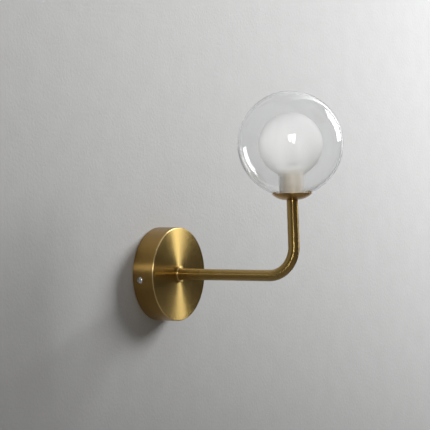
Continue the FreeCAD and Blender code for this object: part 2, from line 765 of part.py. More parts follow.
def cut_socket(body, low, high, radius, level):
    """Widen the tube's bore between two places along the level arm or along the stem."""
    sketch = new_sketch(body, "YZ_Plane")
    if level:
        draw(sketch, [(low, tube_bore - 1), (high, tube_bore - 1), (high, radius), (low, radius)])
    else:
        sketch.setExpression("AttachmentOffset.Base.x", (-dims.ArmReach).text)
        sketch.AttachmentOffset = FreeCAD.Placement(
            FreeCAD.Vector(), FreeCAD.Rotation(FreeCAD.Vector(0, 0, 1), -dims.StemLean.value))
        draw(sketch, [(tube_bore - 1, low), (radius, low), (radius, high), (tube_bore - 1, high)])
    socket = body.newObject("PartDesign::Groove", f"{body.Label}_socket")
    socket.Profile = sketch
    socket.ReferenceAxis = (sketch, ["H_Axis" if level else "V_Axis"])
    socket.Angle = 360


# Cup and lampholder -----------------------------------------------------------------------------------

def make_cup_nipple():
    """Nipple from the stem's top through cup, nut and skirt."""
    body = make_nipple("cup_nipple", cup_bottom - dims.SocketDepth + 1, skirt_seat + 2.6)
    place_on_stem(body)


def make_glass_cup():
    """Shallow brass cup: a flat bottom and a side that is an arc of a circle."""
    rim_inside = cup_flat + half_chord(cup_inside_arc, cup_centre - dims.RimHeight)
    body = new_body("glass_cup")
    spin(body, [(nipple_hole, cup_bottom), (cup_flat, cup_bottom, cup_arc), (cup_radius, dims.RimHeight),
                (rim_inside, dims.RimHeight, -cup_inside_arc), (cup_flat, cup_bottom + dims.CupWall),
                (nipple_hole, cup_bottom + dims.CupWall)])
    place_on_stem(body)


def make_cup_nut():
    """Hex nut that clamps the cup to the stem's top."""
    body = make_hex_nut("cup_nut", nut_flats, cup_nut_seat, nut_height)
    place_on_stem(body)


def make_lampholder_skirt():
    """Ring on the nipple with the thread that the glass screws on to."""
    wall, floor_height, ridge_foot, ridge_tip, ridge_root = 1.1, 1.6, 0.8, 0.4, 1.8
    flank = (ridge_root - ridge_tip) / 2
    floor = skirt_seat + floor_height
    inside = holder_radius - wall
    thread_radius = dims.ThreadDiameter / 2
    body = new_body("lampholder_skirt")
    spin(body, [(nipple_hole, skirt_seat), (holder_radius, skirt_seat), (holder_radius, skirt_top),
                (inside, skirt_top), (inside, floor), (nipple_hole, floor)])
    doc.recompute()
    ridge = new_sketch(body, "XZ_Plane")
    low = skirt_seat + ridge_foot
    draw(ridge, [(holder_radius - 0.2, low), (thread_radius, low + flank),
                 (thread_radius, low + flank + ridge_tip), (holder_radius - 0.2, low + ridge_root)])
    doc.recompute()
    thread = body.newObject("PartDesign::AdditiveHelix", "lampholder_skirt_thread")
    thread.Profile = ridge
    thread.ReferenceAxis = (ridge, ["V_Axis"])
    thread.Mode = 0
    thread.setExpression("Pitch", dims.ThreadPitch.text)
    thread.setExpression("Height", (dims.ThreadPitch * 1.5).text)
    screw_holes = new_sketch(body, "XY_Plane", floor)
    for side in (-1, 1):
        draw_circle(screw_holes, 0, side * holder_screw_offset, holder_screw_radius + 0.05)
    cut(body, screw_holes, 2)
    place_on_stem(body)


def make_lampholder_body():
    """Ceramic lampholder: a spigot in the skirt, a recess for the bulb's pinch and two pin wells."""
    rounding, chamber, recess_depth, well_depth, head_depth = 0.8, 5.5, 6, 17, 3
    spigot = holder_radius - 1.15
    body = new_body("lampholder_body")
    spin(body, [(0, holder_low), (spigot, holder_low), (spigot, skirt_top), (holder_radius, skirt_top),
                (holder_radius, dims.HolderTop - rounding, rounding),
                (holder_radius - rounding, dims.HolderTop), (0, dims.HolderTop)])
    recess = new_sketch(body, "XY_Plane", dims.HolderTop)
    draw(recess, box_outline(14.2, 5.2))
    cut(body, recess, recess_depth)
    wells = new_sketch(body, "XY_Plane", dims.HolderTop)
    for side in (-1, 1):
        draw(wells, box_outline(3.4, 4, side * dims.PinSpacing / 2))
    cut(body, wells, well_depth)
    lead_chamber = new_sketch(body, "XY_Plane", holder_low + chamber)
    draw(lead_chamber, box_outline(12.4, 5.2))
    cut(body, lead_chamber, chamber)
    ways = new_sketch(body, "XY_Plane")
    for side in (-1, 1):
        draw_circle(ways, side * dims.PinSpacing / 2, 0, lead_radius + 0.25)
        draw_circle(ways, 0, side * holder_screw_offset, holder_screw_radius + 0.15)
    cut(body, ways)
    head_wells = new_sketch(body, "XY_Plane", dims.HolderTop)
    for side in (-1, 1):
        draw_circle(head_wells, 0, side * holder_screw_offset, 2.2)
    cut(body, head_wells, head_depth)
    place_on_stem(body)


def make_lampholder_contacts():
    """Two folded spring strips in the wells, one pair of leaves about each pin."""
    strip, height, gap, half_width = 0.4, 9, 0.9, 1.3
    low = pin_foot - 0.8
    body = new_body("lampholder_contacts", several=True)
    leaves = new_sketch(body, "XY_Plane", low)
    bridge = new_sketch(body, "XY_Plane", low)
    for side in (-1, 1):
        middle = side * dims.PinSpacing / 2
        for leaf in (-1, 1):
            draw(leaves, box_outline(2 * half_width, strip, middle, leaf * (gap + strip / 2)))
        draw(bridge, box_outline(2 * half_width, 2 * (gap + strip), middle))
    pad(body, leaves, height)
    pad(body, bridge, strip)
    place_on_stem(body)


def make_lampholder_screws():
    """Two slotted screws down through the ceramic into the skirt's floor."""
    head_height, head_radius = 1.6, 2
    body = new_body("lampholder_screws", several=True)
    seat = dims.HolderTop - 3
    tip = skirt_seat + 0.6
    shank = new_sketch(body, "XY_Plane", tip)
    head = new_sketch(body, "XY_Plane", seat)
    slots = new_sketch(body, "XY_Plane", seat + head_height)
    for side in (-1, 1):
        draw_circle(shank, 0, side * holder_screw_offset, holder_screw_radius)
        draw_circle(head, 0, side * holder_screw_offset, head_radius)
        draw(slots, box_outline(4.6, small_slot, 0, side * holder_screw_offset))
    pad(body, shank, seat - tip)
    pad(body, head, head_height)
    cut(body, slots, 0.7)
    place_on_stem(body)


# Leads ------------------------------------------------------------------------------------------------

def make_supply_lead(label, side, pole):
    """A lead from its contact down the stem, through the arm and out to its pole of the block."""
    contact = side * dims.PinSpacing / 2
    inner = size_of(side * lead_offset)
    level, zero = size_of(0), size_of(0)
    points = [stem_point(contact, zero, pin_foot - 1), stem_point(contact, zero, holder_low + 4.6),
              stem_point(inner, zero, skirt_seat + 2.9), (inner, -dims.ArmReach, level),
              (inner, -dims.WireHeight, level), clocked_point(pole, wire_turn, dims.WireHeight),
              clocked_point(pole, wire_end, dims.WireHeight)]
    make_lead(label, points, (2.5, 2.5, dims.BendRadius.value, 4, 4), lead_radius)


def make_earth_lead():
    """Short lead from the block's left pole round to the ring terminal."""
    pole, ring, slack = -dims.PolePitch, size_of(earth_up), size_of(-18.5)
    crimp = strap_face + crimp_radius
    points = [clocked_point(size_of(-7), ring, crimp), clocked_point(slack, ring, crimp),
              clocked_point(slack, size_of(2), dims.WireHeight),
              clocked_point(pole, wire_turn, dims.WireHeight),
              clocked_point(pole, wire_end, dims.WireHeight)]
    make_lead("earth_lead", points, (3, 3, 3), lead_radius)


# Glass ------------------------------------------------------------------------------------------------

def make_glass_gasket():
    """Soft ring that fills the gap between the cup and the globe."""
    inner, outer, clearance = 13.9, 18.4, 0.05
    under = cup_inside_arc - clearance
    over = globe_radius + clearance
    under_at = [cup_centre - half_chord(under, size_of(edge) - cup_flat) for edge in (inner, outer)]
    over_at = [dims.GlobeHeight - half_chord(over, size_of(edge)) for edge in (inner, outer)]
    body = new_body("glass_gasket")
    spin(body, [(inner, under_at[0], under), (outer, under_at[1]), (outer, over_at[1], -over),
                (inner, over_at[0])])
    place_on_stem(body)


def make_outer_globe():
    """Clear globe, open below for the foot of the glass neck."""
    mouth = foot_radius + 0.02
    inside = globe_radius - dims.GlassWall
    centre = dims.GlobeHeight
    body = new_body("outer_globe")
    spin(body, [(mouth, centre - half_chord(globe_radius, mouth), globe_radius), (globe_radius, centre,
                globe_radius), (0, centre + globe_radius), (0, centre + inside, -inside),
                (inside, centre, -inside), (mouth, centre - half_chord(inside, mouth))])
    place_on_stem(body)


def make_glass_neck():
    """Frosted neck round the lampholder, with the foot that is fused into the clear globe."""
    inside, centre = globe_radius - dims.GlassWall, dims.GlobeHeight
    body = new_body("glass_neck")
    spin(body, [(neck_bore, glass_bottom), (neck_radius, glass_bottom, globe_radius),
                (foot_radius, centre - half_chord(globe_radius, foot_radius)),
                (foot_radius, centre - half_chord(inside, foot_radius), -inside),
                (neck_radius, centre - half_chord(inside, neck_radius)), (neck_radius, fillet_centre),
                (neck_bore, fillet_centre)])
    place_on_stem(body)


def make_frosted_globe_lower():
    """Lower half of the frosted globe, drawn in to the neck by a fillet."""
    centre = dims.FrostedHeight
    share = frosted_radius / fillet_reach
    inside_share = frosted_inside / fillet_reach
    fillet_up = centre - fillet_centre
    body = new_body("frosted_globe_lower")
    spin(body, [(neck_radius, fillet_centre, -dims.NeckFillet),
                (fillet_out * share, centre - fillet_up * share, frosted_radius),
                (frosted_radius, centre), (frosted_inside, centre, -frosted_inside),
                (fillet_out * inside_share, centre - fillet_up * inside_share,
                 dims.NeckFillet + dims.GlassWall), (neck_bore, fillet_centre)])
    place_on_stem(body)


def make_frosted_globe_upper():
    """Upper half of the frosted globe."""
    centre = dims.FrostedHeight
    body = new_body("frosted_globe_upper")
    spin(body, [(frosted_inside, centre), (frosted_radius, centre, frosted_radius),
                (0, centre + frosted_radius), (0, centre + frosted_inside, -frosted_inside)])
    place_on_stem(body)


# Bulb -------------------------------------------------------------------------------------------------

def make_bulb_envelope():
    """Glass capsule with an exhaust tip, closed below by a flat pinch."""
    wall, tip_radius, tip_height, shoulder = 0.9, 1, 1.6, 5
    radius = dims.BulbDiameter / 2
    inside = radius - wall
    low, top = pinch_foot + pinch_height, dims.BulbTop
    tip_top = top + tip_height
    flat = radius - shoulder
    body = new_body("bulb_envelope")
    spin(body, [(0, low), (flat, low, shoulder), (radius, low + shoulder),
                (radius, top - shoulder, shoulder), (flat, top), (tip_radius, top),
                (tip_radius, tip_top - tip_radius, tip_radius), (0, tip_top),
                (0, top - wall), (flat, top - wall, wall - shoulder), (inside, top - shoulder),
                (inside, low + shoulder, wall - shoulder), (flat, low + wall), (0, low + wall)])
    pinch = new_sketch(body, "XY_Plane", pinch_foot)
    draw(pinch, box_outline(13.2, 4.2))
    pad(body, pinch, pinch_height + wall)
    place_on_stem(body)


def make_bulb_filament():
    """Coil across the capsule on its two support wires."""
    rise, coil_radius, coil_half, wire = 26, 0.75, 4, 0.3
    height = pinch_foot + rise
    foot = pinch_foot + pinch_height + 1.3
    body = new_body("bulb_filament")
    coil = new_sketch(body, "YZ_Plane", -coil_half)
    draw_circle(coil, 0, height, coil_radius)
    pad(body, coil, 2 * coil_half)
    supports = new_sketch(body, "XY_Plane", foot)
    for side in (-1, 1):
        draw_circle(supports, side * (coil_half - 2 * wire), 0, wire)
    pad(body, supports, height - foot)
    place_on_stem(body)


def make_bulb_pins():
    """Two looped wire pins under the pinch."""
    wire, loop = 0.4, 0.75
    body = new_body("bulb_pins", several=True)
    foot = pin_foot + loop
    pins = new_sketch(body, "YZ_Plane", -dims.PinSpacing / 2 - wire)
    draw(pins, [(loop, pinch_foot), (-loop, pinch_foot), (-loop, foot, loop), (0, foot - loop, loop),
                (loop, foot)])
    pair = pad(body, pins, 2 * wire)
    row(body, [pair], "X_Axis", dims.PinSpacing, 2)
    place_on_stem(body)


# The whole sconce -------------------------------------------------------------------------------------

def build_sconce():
    """Make every sub-part."""
    make_wall_bracket()
    make_earth_screw()
    make_earth_ring_terminal()
    make_terminal_block_housing()
    make_terminal_inserts()
    make_terminal_screws()
    make_terminal_fixing_screws()
    make_canopy_shell()
    make_canopy_screw("canopy_screw_left", -1)
    make_canopy_screw("canopy_screw_right", 1)
    make_arm_collar()
    make_arm_nipple()
    make_arm_lock_washer()
    make_arm_nut()
    make_cable_bush()
    make_arm_tube()
    make_cup_nipple()
    make_glass_cup()
    make_cup_nut()
    make_lampholder_skirt()
    make_lampholder_body()
    make_lampholder_contacts()
    make_lampholder_screws()
    make_supply_lead("lead_live", -1, size_of(0))
    make_supply_lead("lead_neutral", 1, dims.PolePitch)
    make_earth_lead()
    make_glass_gasket()
    make_outer_globe()
    make_glass_neck()
    make_frosted_globe_lower()
    make_frosted_globe_upper()
    make_bulb_envelope()
    make_bulb_filament()
    make_bulb_pins()


def check_and_write():
    """Stop on a failed object or a bad solid, then write each sub-part to its own file."""
    doc.recompute()
    for thing in doc.Objects:
        if {"Invalid", "Error"} & set(thing.State):
            raise RuntimeError(f"{thing.Label} failed: {thing.State}")
    for sub_part in sub_parts:
        shape = sub_part.Shape
        if shape.isNull() or not shape.isValid() or not shape.Solids:
            raise RuntimeError(f"{sub_part.Label} has no valid solid")
        print(f"{sub_part.Label}: {len(shape.Solids)} solid, {shape.Volume:.1f} mm3")
    os.makedirs("parts", exist_ok=True)
    for sub_part in sub_parts:
        sub_part.Shape.exportStep(f"parts/{sub_part.Label}.step")


build_sconce()
check_and_write()
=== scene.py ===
"""Looks of the globe wall sconce: brushed brass, clear and frosted glass, and the parts inside.

Sizes are in millimetres in the classes and become metres when a mesh is made. Every piece is made in
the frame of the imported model: +Y into the wall, +Z up, the arm along -Y.
"""
import json
import logging
import math
from contextlib import contextmanager
from dataclasses import dataclass, field
from enum import Enum
from typing import Callable, ClassVar, Iterator, Optional, Sequence, Union

import bmesh
import bpy
from mathutils import Matrix, Vector


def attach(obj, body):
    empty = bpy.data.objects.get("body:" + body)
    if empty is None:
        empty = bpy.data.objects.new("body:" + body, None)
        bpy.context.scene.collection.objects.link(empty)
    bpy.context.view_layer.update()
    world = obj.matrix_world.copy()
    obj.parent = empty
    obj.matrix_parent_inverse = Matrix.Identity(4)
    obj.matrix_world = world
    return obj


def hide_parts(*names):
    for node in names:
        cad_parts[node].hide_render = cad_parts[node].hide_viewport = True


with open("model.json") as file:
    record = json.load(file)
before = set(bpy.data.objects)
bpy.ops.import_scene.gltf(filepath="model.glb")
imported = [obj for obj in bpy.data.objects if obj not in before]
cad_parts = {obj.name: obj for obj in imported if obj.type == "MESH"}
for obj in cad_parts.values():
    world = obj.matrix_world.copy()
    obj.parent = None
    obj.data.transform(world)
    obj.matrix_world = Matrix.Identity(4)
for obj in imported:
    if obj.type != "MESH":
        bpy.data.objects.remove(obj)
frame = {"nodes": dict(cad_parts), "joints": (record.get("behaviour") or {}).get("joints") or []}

MM = 0.001
LOG = logging.getLogger("sconce")
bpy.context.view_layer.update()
Triple = tuple[float, float, float]
Piece = bpy.types.Object
ORIGIN = (0.0, 0.0, 0.0)
UP = (0.0, 0.0, 1.0)
WHITE = (1.0, 1.0, 1.0)
QUARTER = math.pi / 2


class Body(Enum):
    """The bodies that pieces ride on."""

    FIXTURE = "fixture"
    SEAL = "seal"
    SHADE = "shade"
    BULB = "bulb"


class Group(Enum):
    """Sets of pieces that a lamp can be kept to."""

    GLASS = "lit_glass"
    SOLID = "lit_solid"
    PIECES = "lit_pieces"
    STAGE = "lit_stage"

    def collection(self) -> bpy.types.Collection:
        """The set, made on the first call; it isn't part of the scene."""
        return bpy.data.collections.get(self.value) or bpy.data.collections.new(self.value)


# Shader wiring


def operator(operation: str, swapped: bool = False) -> Callable[["Wire", "Value"], "Wire"]:
    """Make an operator that adds one Math node.

    Args:
        operation: The Math node's operation.
        swapped: Whether the value itself comes second.

    Returns:
        The operator.
    """
    def apply(wire: "Wire", other: "Value") -> "Wire":
        """Add the node."""
        first, second = (other, wire) if swapped else (wire, other)
        return wire.graph.value("ShaderNodeMath", {0: first, 1: second}, operation=operation)

    return apply


class Wire:
    """A shader value that adds Math nodes when it is used in arithmetic.

    "above" gives 1 where the value is above a level, else 0, and "at_least" gives the larger value.
    """

    __add__ = __radd__ = operator("ADD")
    __sub__ = operator("SUBTRACT")
    __rsub__ = operator("SUBTRACT", swapped=True)
    __mul__ = operator("MULTIPLY")
    __pow__ = operator("POWER")
    above = operator("GREATER_THAN")
    at_least = operator("MAXIMUM")

    def __init__(self, graph: "Graph", socket: bpy.types.NodeSocket) -> None:
        """Hold one output socket of a graph."""
        self.graph = graph
        self.socket = socket


Value = Union[Wire, bpy.types.NodeSocket, float, int, Sequence[float]]


class Graph:
    """Adds nodes to one node tree and links them."""

    # Sockets of a Mix node that mixes colours.
    COLOR_A, COLOR_B, COLOR_OUT = 6, 7, 2

    def __init__(self, tree: bpy.types.NodeTree) -> None:
        """Start from an empty tree."""
        self.tree = tree
        tree.nodes.clear()

    def add(self, kind: str, values: Optional[dict] = None, **settings: object) -> bpy.types.Node:
        """Add one node.

        Args:
            kind: The node's type.
            values: Its inputs by name or number, each a constant or a link.
            settings: Its settings by name, set first.

        Returns:
            The new node.
        """
        node = self.tree.nodes.new(kind)
        for name, value in settings.items():
            setattr(node, name, value)
        for name, value in (values or {}).items():
            source = value.socket if isinstance(value, Wire) else value
            if isinstance(source, bpy.types.NodeSocket):
                self.tree.links.new(source, node.inputs[name])
            else:
                node.inputs[name].default_value = source
        return node

    def value(self, kind: str, values: Optional[dict] = None, output: Union[str, int] = 0,
              **settings: object) -> Wire:
        """Add one node and take one of its outputs."""
        return Wire(self, self.add(kind, values, **settings).outputs[output])

    def vector(self, operation: str, first: Value, second: Value = ORIGIN) -> Wire:
        """Add one Vector Math node that gives a vector."""
        return self.value("ShaderNodeVectorMath", {0: first, 1: second}, "Vector", operation=operation)

    def measure(self, operation: str, first: Value, second: Value = ORIGIN) -> Wire:
        """Add one Vector Math node that gives a number."""
        return self.value("ShaderNodeVectorMath", {0: first, 1: second}, "Value", operation=operation)

    def scaled(self, vector: Value, factor: Value) -> Wire:
        """A vector times a number."""
        return self.value("ShaderNodeVectorMath", {0: vector, "Scale": factor}, "Vector", operation="SCALE")

    def blend(self, factor: Value, first: Union[Wire, Triple], second: Triple) -> Wire:
        """A colour between two colours."""
        values = {"Factor": factor, self.COLOR_A: first if isinstance(first, Wire) else (*first, 1.0),
                  self.COLOR_B: (*second, 1.0)}
        return self.value("ShaderNodeMix", values, self.COLOR_OUT, data_type="RGBA")

    def mottled(self, cloud: Value, color: Triple, depth: float) -> Wire:
        """A colour that noise darkens by up to a share."""
        return self.blend(cloud, tuple(channel * (1 - depth) for channel in color), color)

    def ramp(self, value: Value, stops: Sequence[tuple[float, Triple]]) -> Wire:
        """A colour read off a ramp.

        Args:
            value: The place on the ramp.
            stops: The ramp's places and colours.

        Returns:
            The colour.
        """
        node = self.add("ShaderNodeValToRGB", {0: value})
        elements = node.color_ramp.elements
        while len(elements) < len(stops):
            elements.new(0.5)
        for element, (place, color) in zip(elements, stops):
            element.position = place
            element.color = (*color, 1.0)
        return Wire(self, node.outputs["Color"])

    def eased(self, value: Value, low: float, high: float, start: float = 0.0, end: float = 1.0) -> Wire:
        """A number that eases from a start to an end while a value goes from low to high."""
        values = {"Value": value, "From Min": low, "From Max": high, "To Min": start, "To Max": end}
        return self.value("ShaderNodeMapRange", values, interpolation_type="SMOOTHSTEP")

    def noise(self, place: Value, scale: float, detail: float = 2.0) -> Wire:
        """Smooth noise between 0 and 1."""
        return self.value("ShaderNodeTexNoise", {"Vector": place, "Scale": scale, "Detail": detail})

    def object_place(self) -> Wire:
        """The shaded point in the row's frame, in metres."""
        return self.value("ShaderNodeTexCoord", output="Object")

    def normal(self) -> Wire:
        """The surface normal."""
        return self.value("ShaderNodeNewGeometry", output="Normal")

    def ray(self, kind: str) -> Wire:
        """1 for rays of one kind, else 0."""
        return self.value("ShaderNodeLightPath", output=f"Is {kind} Ray")

    def bump(self, height: Value, distance: float, strength: float = 1.0) -> Wire:
        """A normal bumped by a height."""
        values = {"Height": height, "Distance": distance, "Strength": strength}
        return self.value("ShaderNodeBump", values, "Normal")

    def mix(self, share: Value, first: Value, second: Value) -> Wire:
        """The first shader with a share of the second in its place."""
        return self.value("ShaderNodeMixShader", {0: share, 1: first, 2: second})


@dataclass(frozen=True)
class Finish:
    """A finish makes its Blender material once and hands it out after that.

    The name is the material's, and the slot is a name that is logged with its pieces.
    """

    name: str
    slot: str
    group: ClassVar[Group] = Group.SOLID

    def material(self) -> bpy.types.Material:
        """The finish as a material, made on the first call."""
        return bpy.data.materials.get(self.name) or self._make()

    def _make(self) -> bpy.types.Material:
        """Make the material.

        Returns:
            The material, with its shader wired up.
        """
        material = bpy.data.materials.new(self.name)
        material.use_nodes = True
        graph = Graph(material.node_tree)
        graph.add("ShaderNodeOutputMaterial", {"Surface": self.shade(graph)})
        return material

    def shade(self, graph: Graph) -> Wire:
        """Build the shader.

        Args:
            graph: The material's graph, empty so far.

        Returns:
            The shader.
        """
        raise NotImplementedError


@dataclass(frozen=True)
class Brushed(Finish):
    """Brushed metal: a fan of gloss lobes tilted across the brushing, and fine lines along it.

    The lobes stand a stride apart, as a share of the spread, and their weights follow a bell curve.
    """

    color: Triple = (0.545, 0.388, 0.126)
    roughness: float = 0.21
    spread: float = 0.3
    polished: Triple = (0.86, 0.66, 0.33)
    lines: float = 0.012
    arcs: float = 0.5
    grooves: float = 1100.0
    line_dark: float = 0.12
    line_gloss: float = 0.08
    lobes: int = 4
    stride: float = 0.5
    bell: float = 8.0

    def brushed(self, graph: Graph, around: Value, along: Wire, across: Value, calm: Value,
                lean: Value, shine: Value = 0.0, painted_shade: Value = WHITE) -> Wire:
        """Fan the gloss out across the brushing.

        Args:
            graph: The material's graph.
            around: A vector that changes slowly along the grooves.
            along: Distance across the grooves, in metres.
            across: Direction that the grooves tilt the normal in.
            calm: Share of the spread that is kept.
            lean: A steady tilt.
            shine: Share of polished metal, as on a worn edge.
            painted_shade: Factor on each channel of the colour, painted shade where it is below 1.

        Returns:
            The shader.
        """
        values = {"Vector": around, "W": along * (self.grooves / self.arcs), "Scale": self.arcs,
                  "Detail": 1.0}
        streak = graph.value("ShaderNodeTexNoise", values, noise_dimensions="4D")
        # The colour is multiplied by the factor for painted shade, which darkens the canopy's side.
        plain = graph.vector("MULTIPLY", graph.mottled(streak, self.color, self.line_dark), painted_shade)
        look = {"Base Color": graph.blend(shine, plain, self.polished), "Metallic": 1.0,
                "Roughness": self.roughness + (streak - 0.5) * self.line_gloss}
        fan = None
        total = 0.0
        for step in sorted(range(self.lobes, -self.lobes - 1, -1), key=abs):
            tilt = ((streak - 0.5) * (2 * self.lines) + step * self.stride * self.spread) * calm + lean
            tilted = graph.vector("ADD", graph.normal(), graph.scaled(across, tilt))
            lobe = graph.value("ShaderNodeBsdfPrincipled", {
                **look, "Normal": graph.vector("NORMALIZE", tilted)})
            weight = math.exp(-step * step / self.bell)
            total += weight
            fan = lobe if fan is None else graph.mix(weight / total, fan, lobe)
        return fan


@dataclass(frozen=True)
class TurnedBrass(Brushed):
    """Brass brushed in circles about an axis, with its rounded edges buffed and painted shade on its side."""

    centre: Triple = ORIGIN
    axis: Triple = (0.0, -1.0, 0.0)
    buffed: float = 0.0
    dome: float = 0.0
    side: float = 0.0
    # Painted shade: a factor that darkens and browns the colour on the side, away from the face.
    side_painted_shade: Triple = WHITE

    def shade(self, graph: Graph) -> Wire:
        """Run the grooves round the axis and paint shade on the side."""
        arm = graph.vector("SUBTRACT", graph.object_place(), self.centre)
        sweep = graph.vector("CROSS_PRODUCT", self.axis, arm)
        around = graph.vector("NORMALIZE", sweep)
        along = graph.measure("LENGTH", sweep) + graph.measure("DOT_PRODUCT", arm, self.axis)
        facing = graph.measure("DOT_PRODUCT", graph.normal(), self.axis) ** 2.0
        edge = facing * (1.0 - facing) * 4.0
        across = graph.vector("CROSS_PRODUCT", graph.normal(), around)
        calm = (1.0 - edge * self.buffed) * (1.0 + (1.0 - facing) * self.side)
        # Painted shade: the side, which runs along the axis, gets its colour darkened and browned.
        painted_shade = graph.blend(facing, self.side_painted_shade, WHITE)
        return self.brushed(graph, around, along, across, calm, facing * -self.dome, edge * self.buffed, painted_shade)


@dataclass(frozen=True)
class DrawnBrass(Brushed):
    """Brass tube brushed round its section; the mesh's "run" attribute is the tube's direction."""

    def shade(self, graph: Graph) -> Wire:
        """Run the grooves round the tube."""
        run = graph.value("ShaderNodeAttribute", output="Vector", attribute_name="run")
        place = graph.value("ShaderNodeUVMap", output="UV", uv_map="UVMap")
        along = graph.measure("DOT_PRODUCT", place, (0.0, 1.0, 0.0))
        return self.brushed(graph, graph.normal(), along, run, 1.0, 0.0)


@dataclass(frozen=True)
class SatinMetal(Finish):
    """Plain metal with slightly uneven colour and gloss."""

    color: Triple
    roughness: float
    unevenness: float = 0.06
    grain: float = 300.0

    def shade(self, graph: Graph) -> Wire:
        """Vary colour and roughness a little by noise."""
        cloud = graph.noise(graph.object_place(), self.grain)
        return graph.value("ShaderNodeBsdfPrincipled", {
            "Base Color": graph.mottled(cloud, self.color, self.unevenness), "Metallic": 1.0,
            "Roughness": self.roughness + (cloud - 0.5) * self.unevenness * 2})


@dataclass(frozen=True)
class Moulded(Finish):
    """Opaque plastic, ceramic or insulation with a faint mottle and grain."""

    color: Triple
    roughness: float = 0.5
    mottle: float = 0.05
    grain: float = 500.0
    relief: float = 0.00002

    def shade(self, graph: Graph) -> Wire:
        """Vary colour by noise and add a shallow, finer grain."""
        place = graph.object_place()
        grain = graph.noise(place, self.grain * 4)
        return graph.value("ShaderNodeBsdfPrincipled", {
            "Base Color": graph.mottled(graph.noise(place, self.grain), self.color, self.mottle),
            "Roughness": self.roughness, "Normal": graph.bump(grain, self.relief)})


@dataclass(frozen=True)
class StripedInsulation(Finish):
    """Green insulation with a yellow stripe along it."""

    green: Triple = (0.05, 0.24, 0.06)
    yellow: Triple = (0.75, 0.60, 0.05)
    stripe: Triple = (0.25, 0.9, 0.35)
    stripe_edge: float = 0.35
    roughness: float = 0.45

    def shade(self, graph: Graph) -> Wire:
        """Colour by which way the surface faces, so that the stripe runs along the lead."""
        facing = graph.value("ShaderNodeTexCoord", output="Normal")
        striped = graph.measure("DOT_PRODUCT", facing, self.stripe).above(self.stripe_edge)
        values = {"Base Color": graph.blend(striped, self.green, self.yellow), "Roughness": self.roughness}
        return graph.value("ShaderNodeBsdfPrincipled", values)


@dataclass(frozen=True)
class ClearGlass(Finish):
    """Clear glass that lets the lamps' light through; a ripple is a depth in metres."""

    color: Triple = (0.985, 0.988, 0.988)
    index: float = 1.5
    ripple: float = 0.0
    waves: float = 26.0
    group: ClassVar[Group] = Group.GLASS

    def shade(self, graph: Graph) -> Wire:
        """Refract what the camera sees and pass shadow and diffuse rays straight through."""
        values = {"Color": (*self.color, 1.0), "Roughness": 0.0, "IOR": self.index}
        if self.ripple:
            values["Normal"] = graph.bump(graph.noise(graph.object_place(), self.waves, 0.0), self.ripple)
        glass = graph.value("ShaderNodeBsdfGlass", values)
        clear = graph.value("ShaderNodeBsdfTransparent", {"Color": (*self.color, 1.0)})
        return graph.mix(graph.ray("Shadow").at_least(graph.ray("Diffuse")), glass, clear)


@dataclass(frozen=True)
class FrostedGlass(Finish):
    """Satin glass: part of the light scatters in the frosted skin, the rest passes blurred.

    Heights are millimetres up the stem: the neck's milk and its share of forward light give way to the
    globe's between them.
    """

    color: Triple = (0.96, 0.96, 0.96)
    shadow: Triple = (0.82, 0.82, 0.81)
    roughness: float = 0.5
    index: float = 1.06
    milk: float = 0.56
    neck_milk: float = 0.31
    forward: float = 0.22
    neck_forward: float = 0.6
    neck_end: float = 100.0
    globe_start: float = 116.0
    group: ClassVar[Group] = Group.GLASS

    def shade(self, graph: Graph) -> Wire:
        """Mix rough glass with light scattered forwards and back, and let lamps through."""
        color = {"Color": (*self.color, 1.0)}
        rough = graph.value("ShaderNodeBsdfRefraction", {
            **color, "Roughness": self.roughness, "IOR": self.index})
        back = graph.value("ShaderNodeBsdfDiffuse", color)
        forward = graph.value("ShaderNodeBsdfTranslucent", color)
        height = graph.measure("DOT_PRODUCT", graph.object_place(), FRAMES.axis)
        above = graph.eased(height, FRAMES.height(self.neck_end), FRAMES.height(self.globe_start))
        milk = above * (self.milk - self.neck_milk) + self.neck_milk
        share = above * (self.forward - self.neck_forward) + self.neck_forward
        body = graph.mix(milk, rough, graph.mix(share, back, forward))
        clear = graph.value("ShaderNodeBsdfTransparent", {"Color": (*self.shadow, 1.0)})
        return graph.mix(graph.ray("Shadow"), body, clear)


# Meshes


class Profile:
    """A closed outline of (radius, height) points in millimetres, drawn stretch by stretch."""

    def __init__(self, radius: float, height: float) -> None:
        """Start at a point."""
        self.points = [(radius, height)]

    def line(self, radius: float, height: float, steps: int = 1) -> "Profile":
        """Add a straight stretch.

        Args:
            radius: Radius of its end.
            height: Height of its end.
            steps: Equal parts that it is drawn in.

        Returns:
            The outline itself.
        """
        start_radius, start_height = self.points[-1]
        for step in range(1, steps + 1):
            share = step / steps
            self.points.append((start_radius + (radius - start_radius) * share,
                                start_height + (height - start_height) * share))
        return self

    def arc(self, radius: float, height: float, bend: float, steps: int = 8) -> "Profile":
        """Add a minor arc.

        Args:
            radius: Radius of its end.
            height: Height of its end.
            bend: Its own radius, positive when it runs counter-clockwise.
            steps: Equal parts that it is drawn in.

        Returns:
            The outline itself.
        """
        x0, y0 = self.points[-1]
        chord = math.hypot(radius - x0, height - y0)
        reach = math.sqrt(max(bend * bend - chord * chord / 4, 0.0))
        side = math.copysign(reach, bend)
        centre_x = (x0 + radius) / 2 - (height - y0) / chord * side
        centre_y = (y0 + height) / 2 + (radius - x0) / chord * side
        start = math.atan2(y0 - centre_y, x0 - centre_x)
        turn = math.atan2(height - centre_y, radius - centre_x) - start
        turn = (turn + math.pi) % (2 * math.pi) - math.pi
        if abs(turn) > math.pi - 1e-6:
            turn = math.copysign(math.pi, bend)
        for step in range(1, steps + 1):
            angle = start + turn * step / steps
            self.points.append((centre_x + abs(bend) * math.cos(angle),
                                centre_y + abs(bend) * math.sin(angle)))
        self.points[-1] = (radius, height)
        return self

    def outward(self) -> list[tuple[float, float]]:
        """The points in the order whose faces point outwards."""
        following = self.points[1:] + self.points[:1]
        area = sum(x0 * y1 - x1 * y0 for (x0, y0), (x1, y1) in zip(self.points, following))
        return self.points if area > 0 else self.points[::-1]


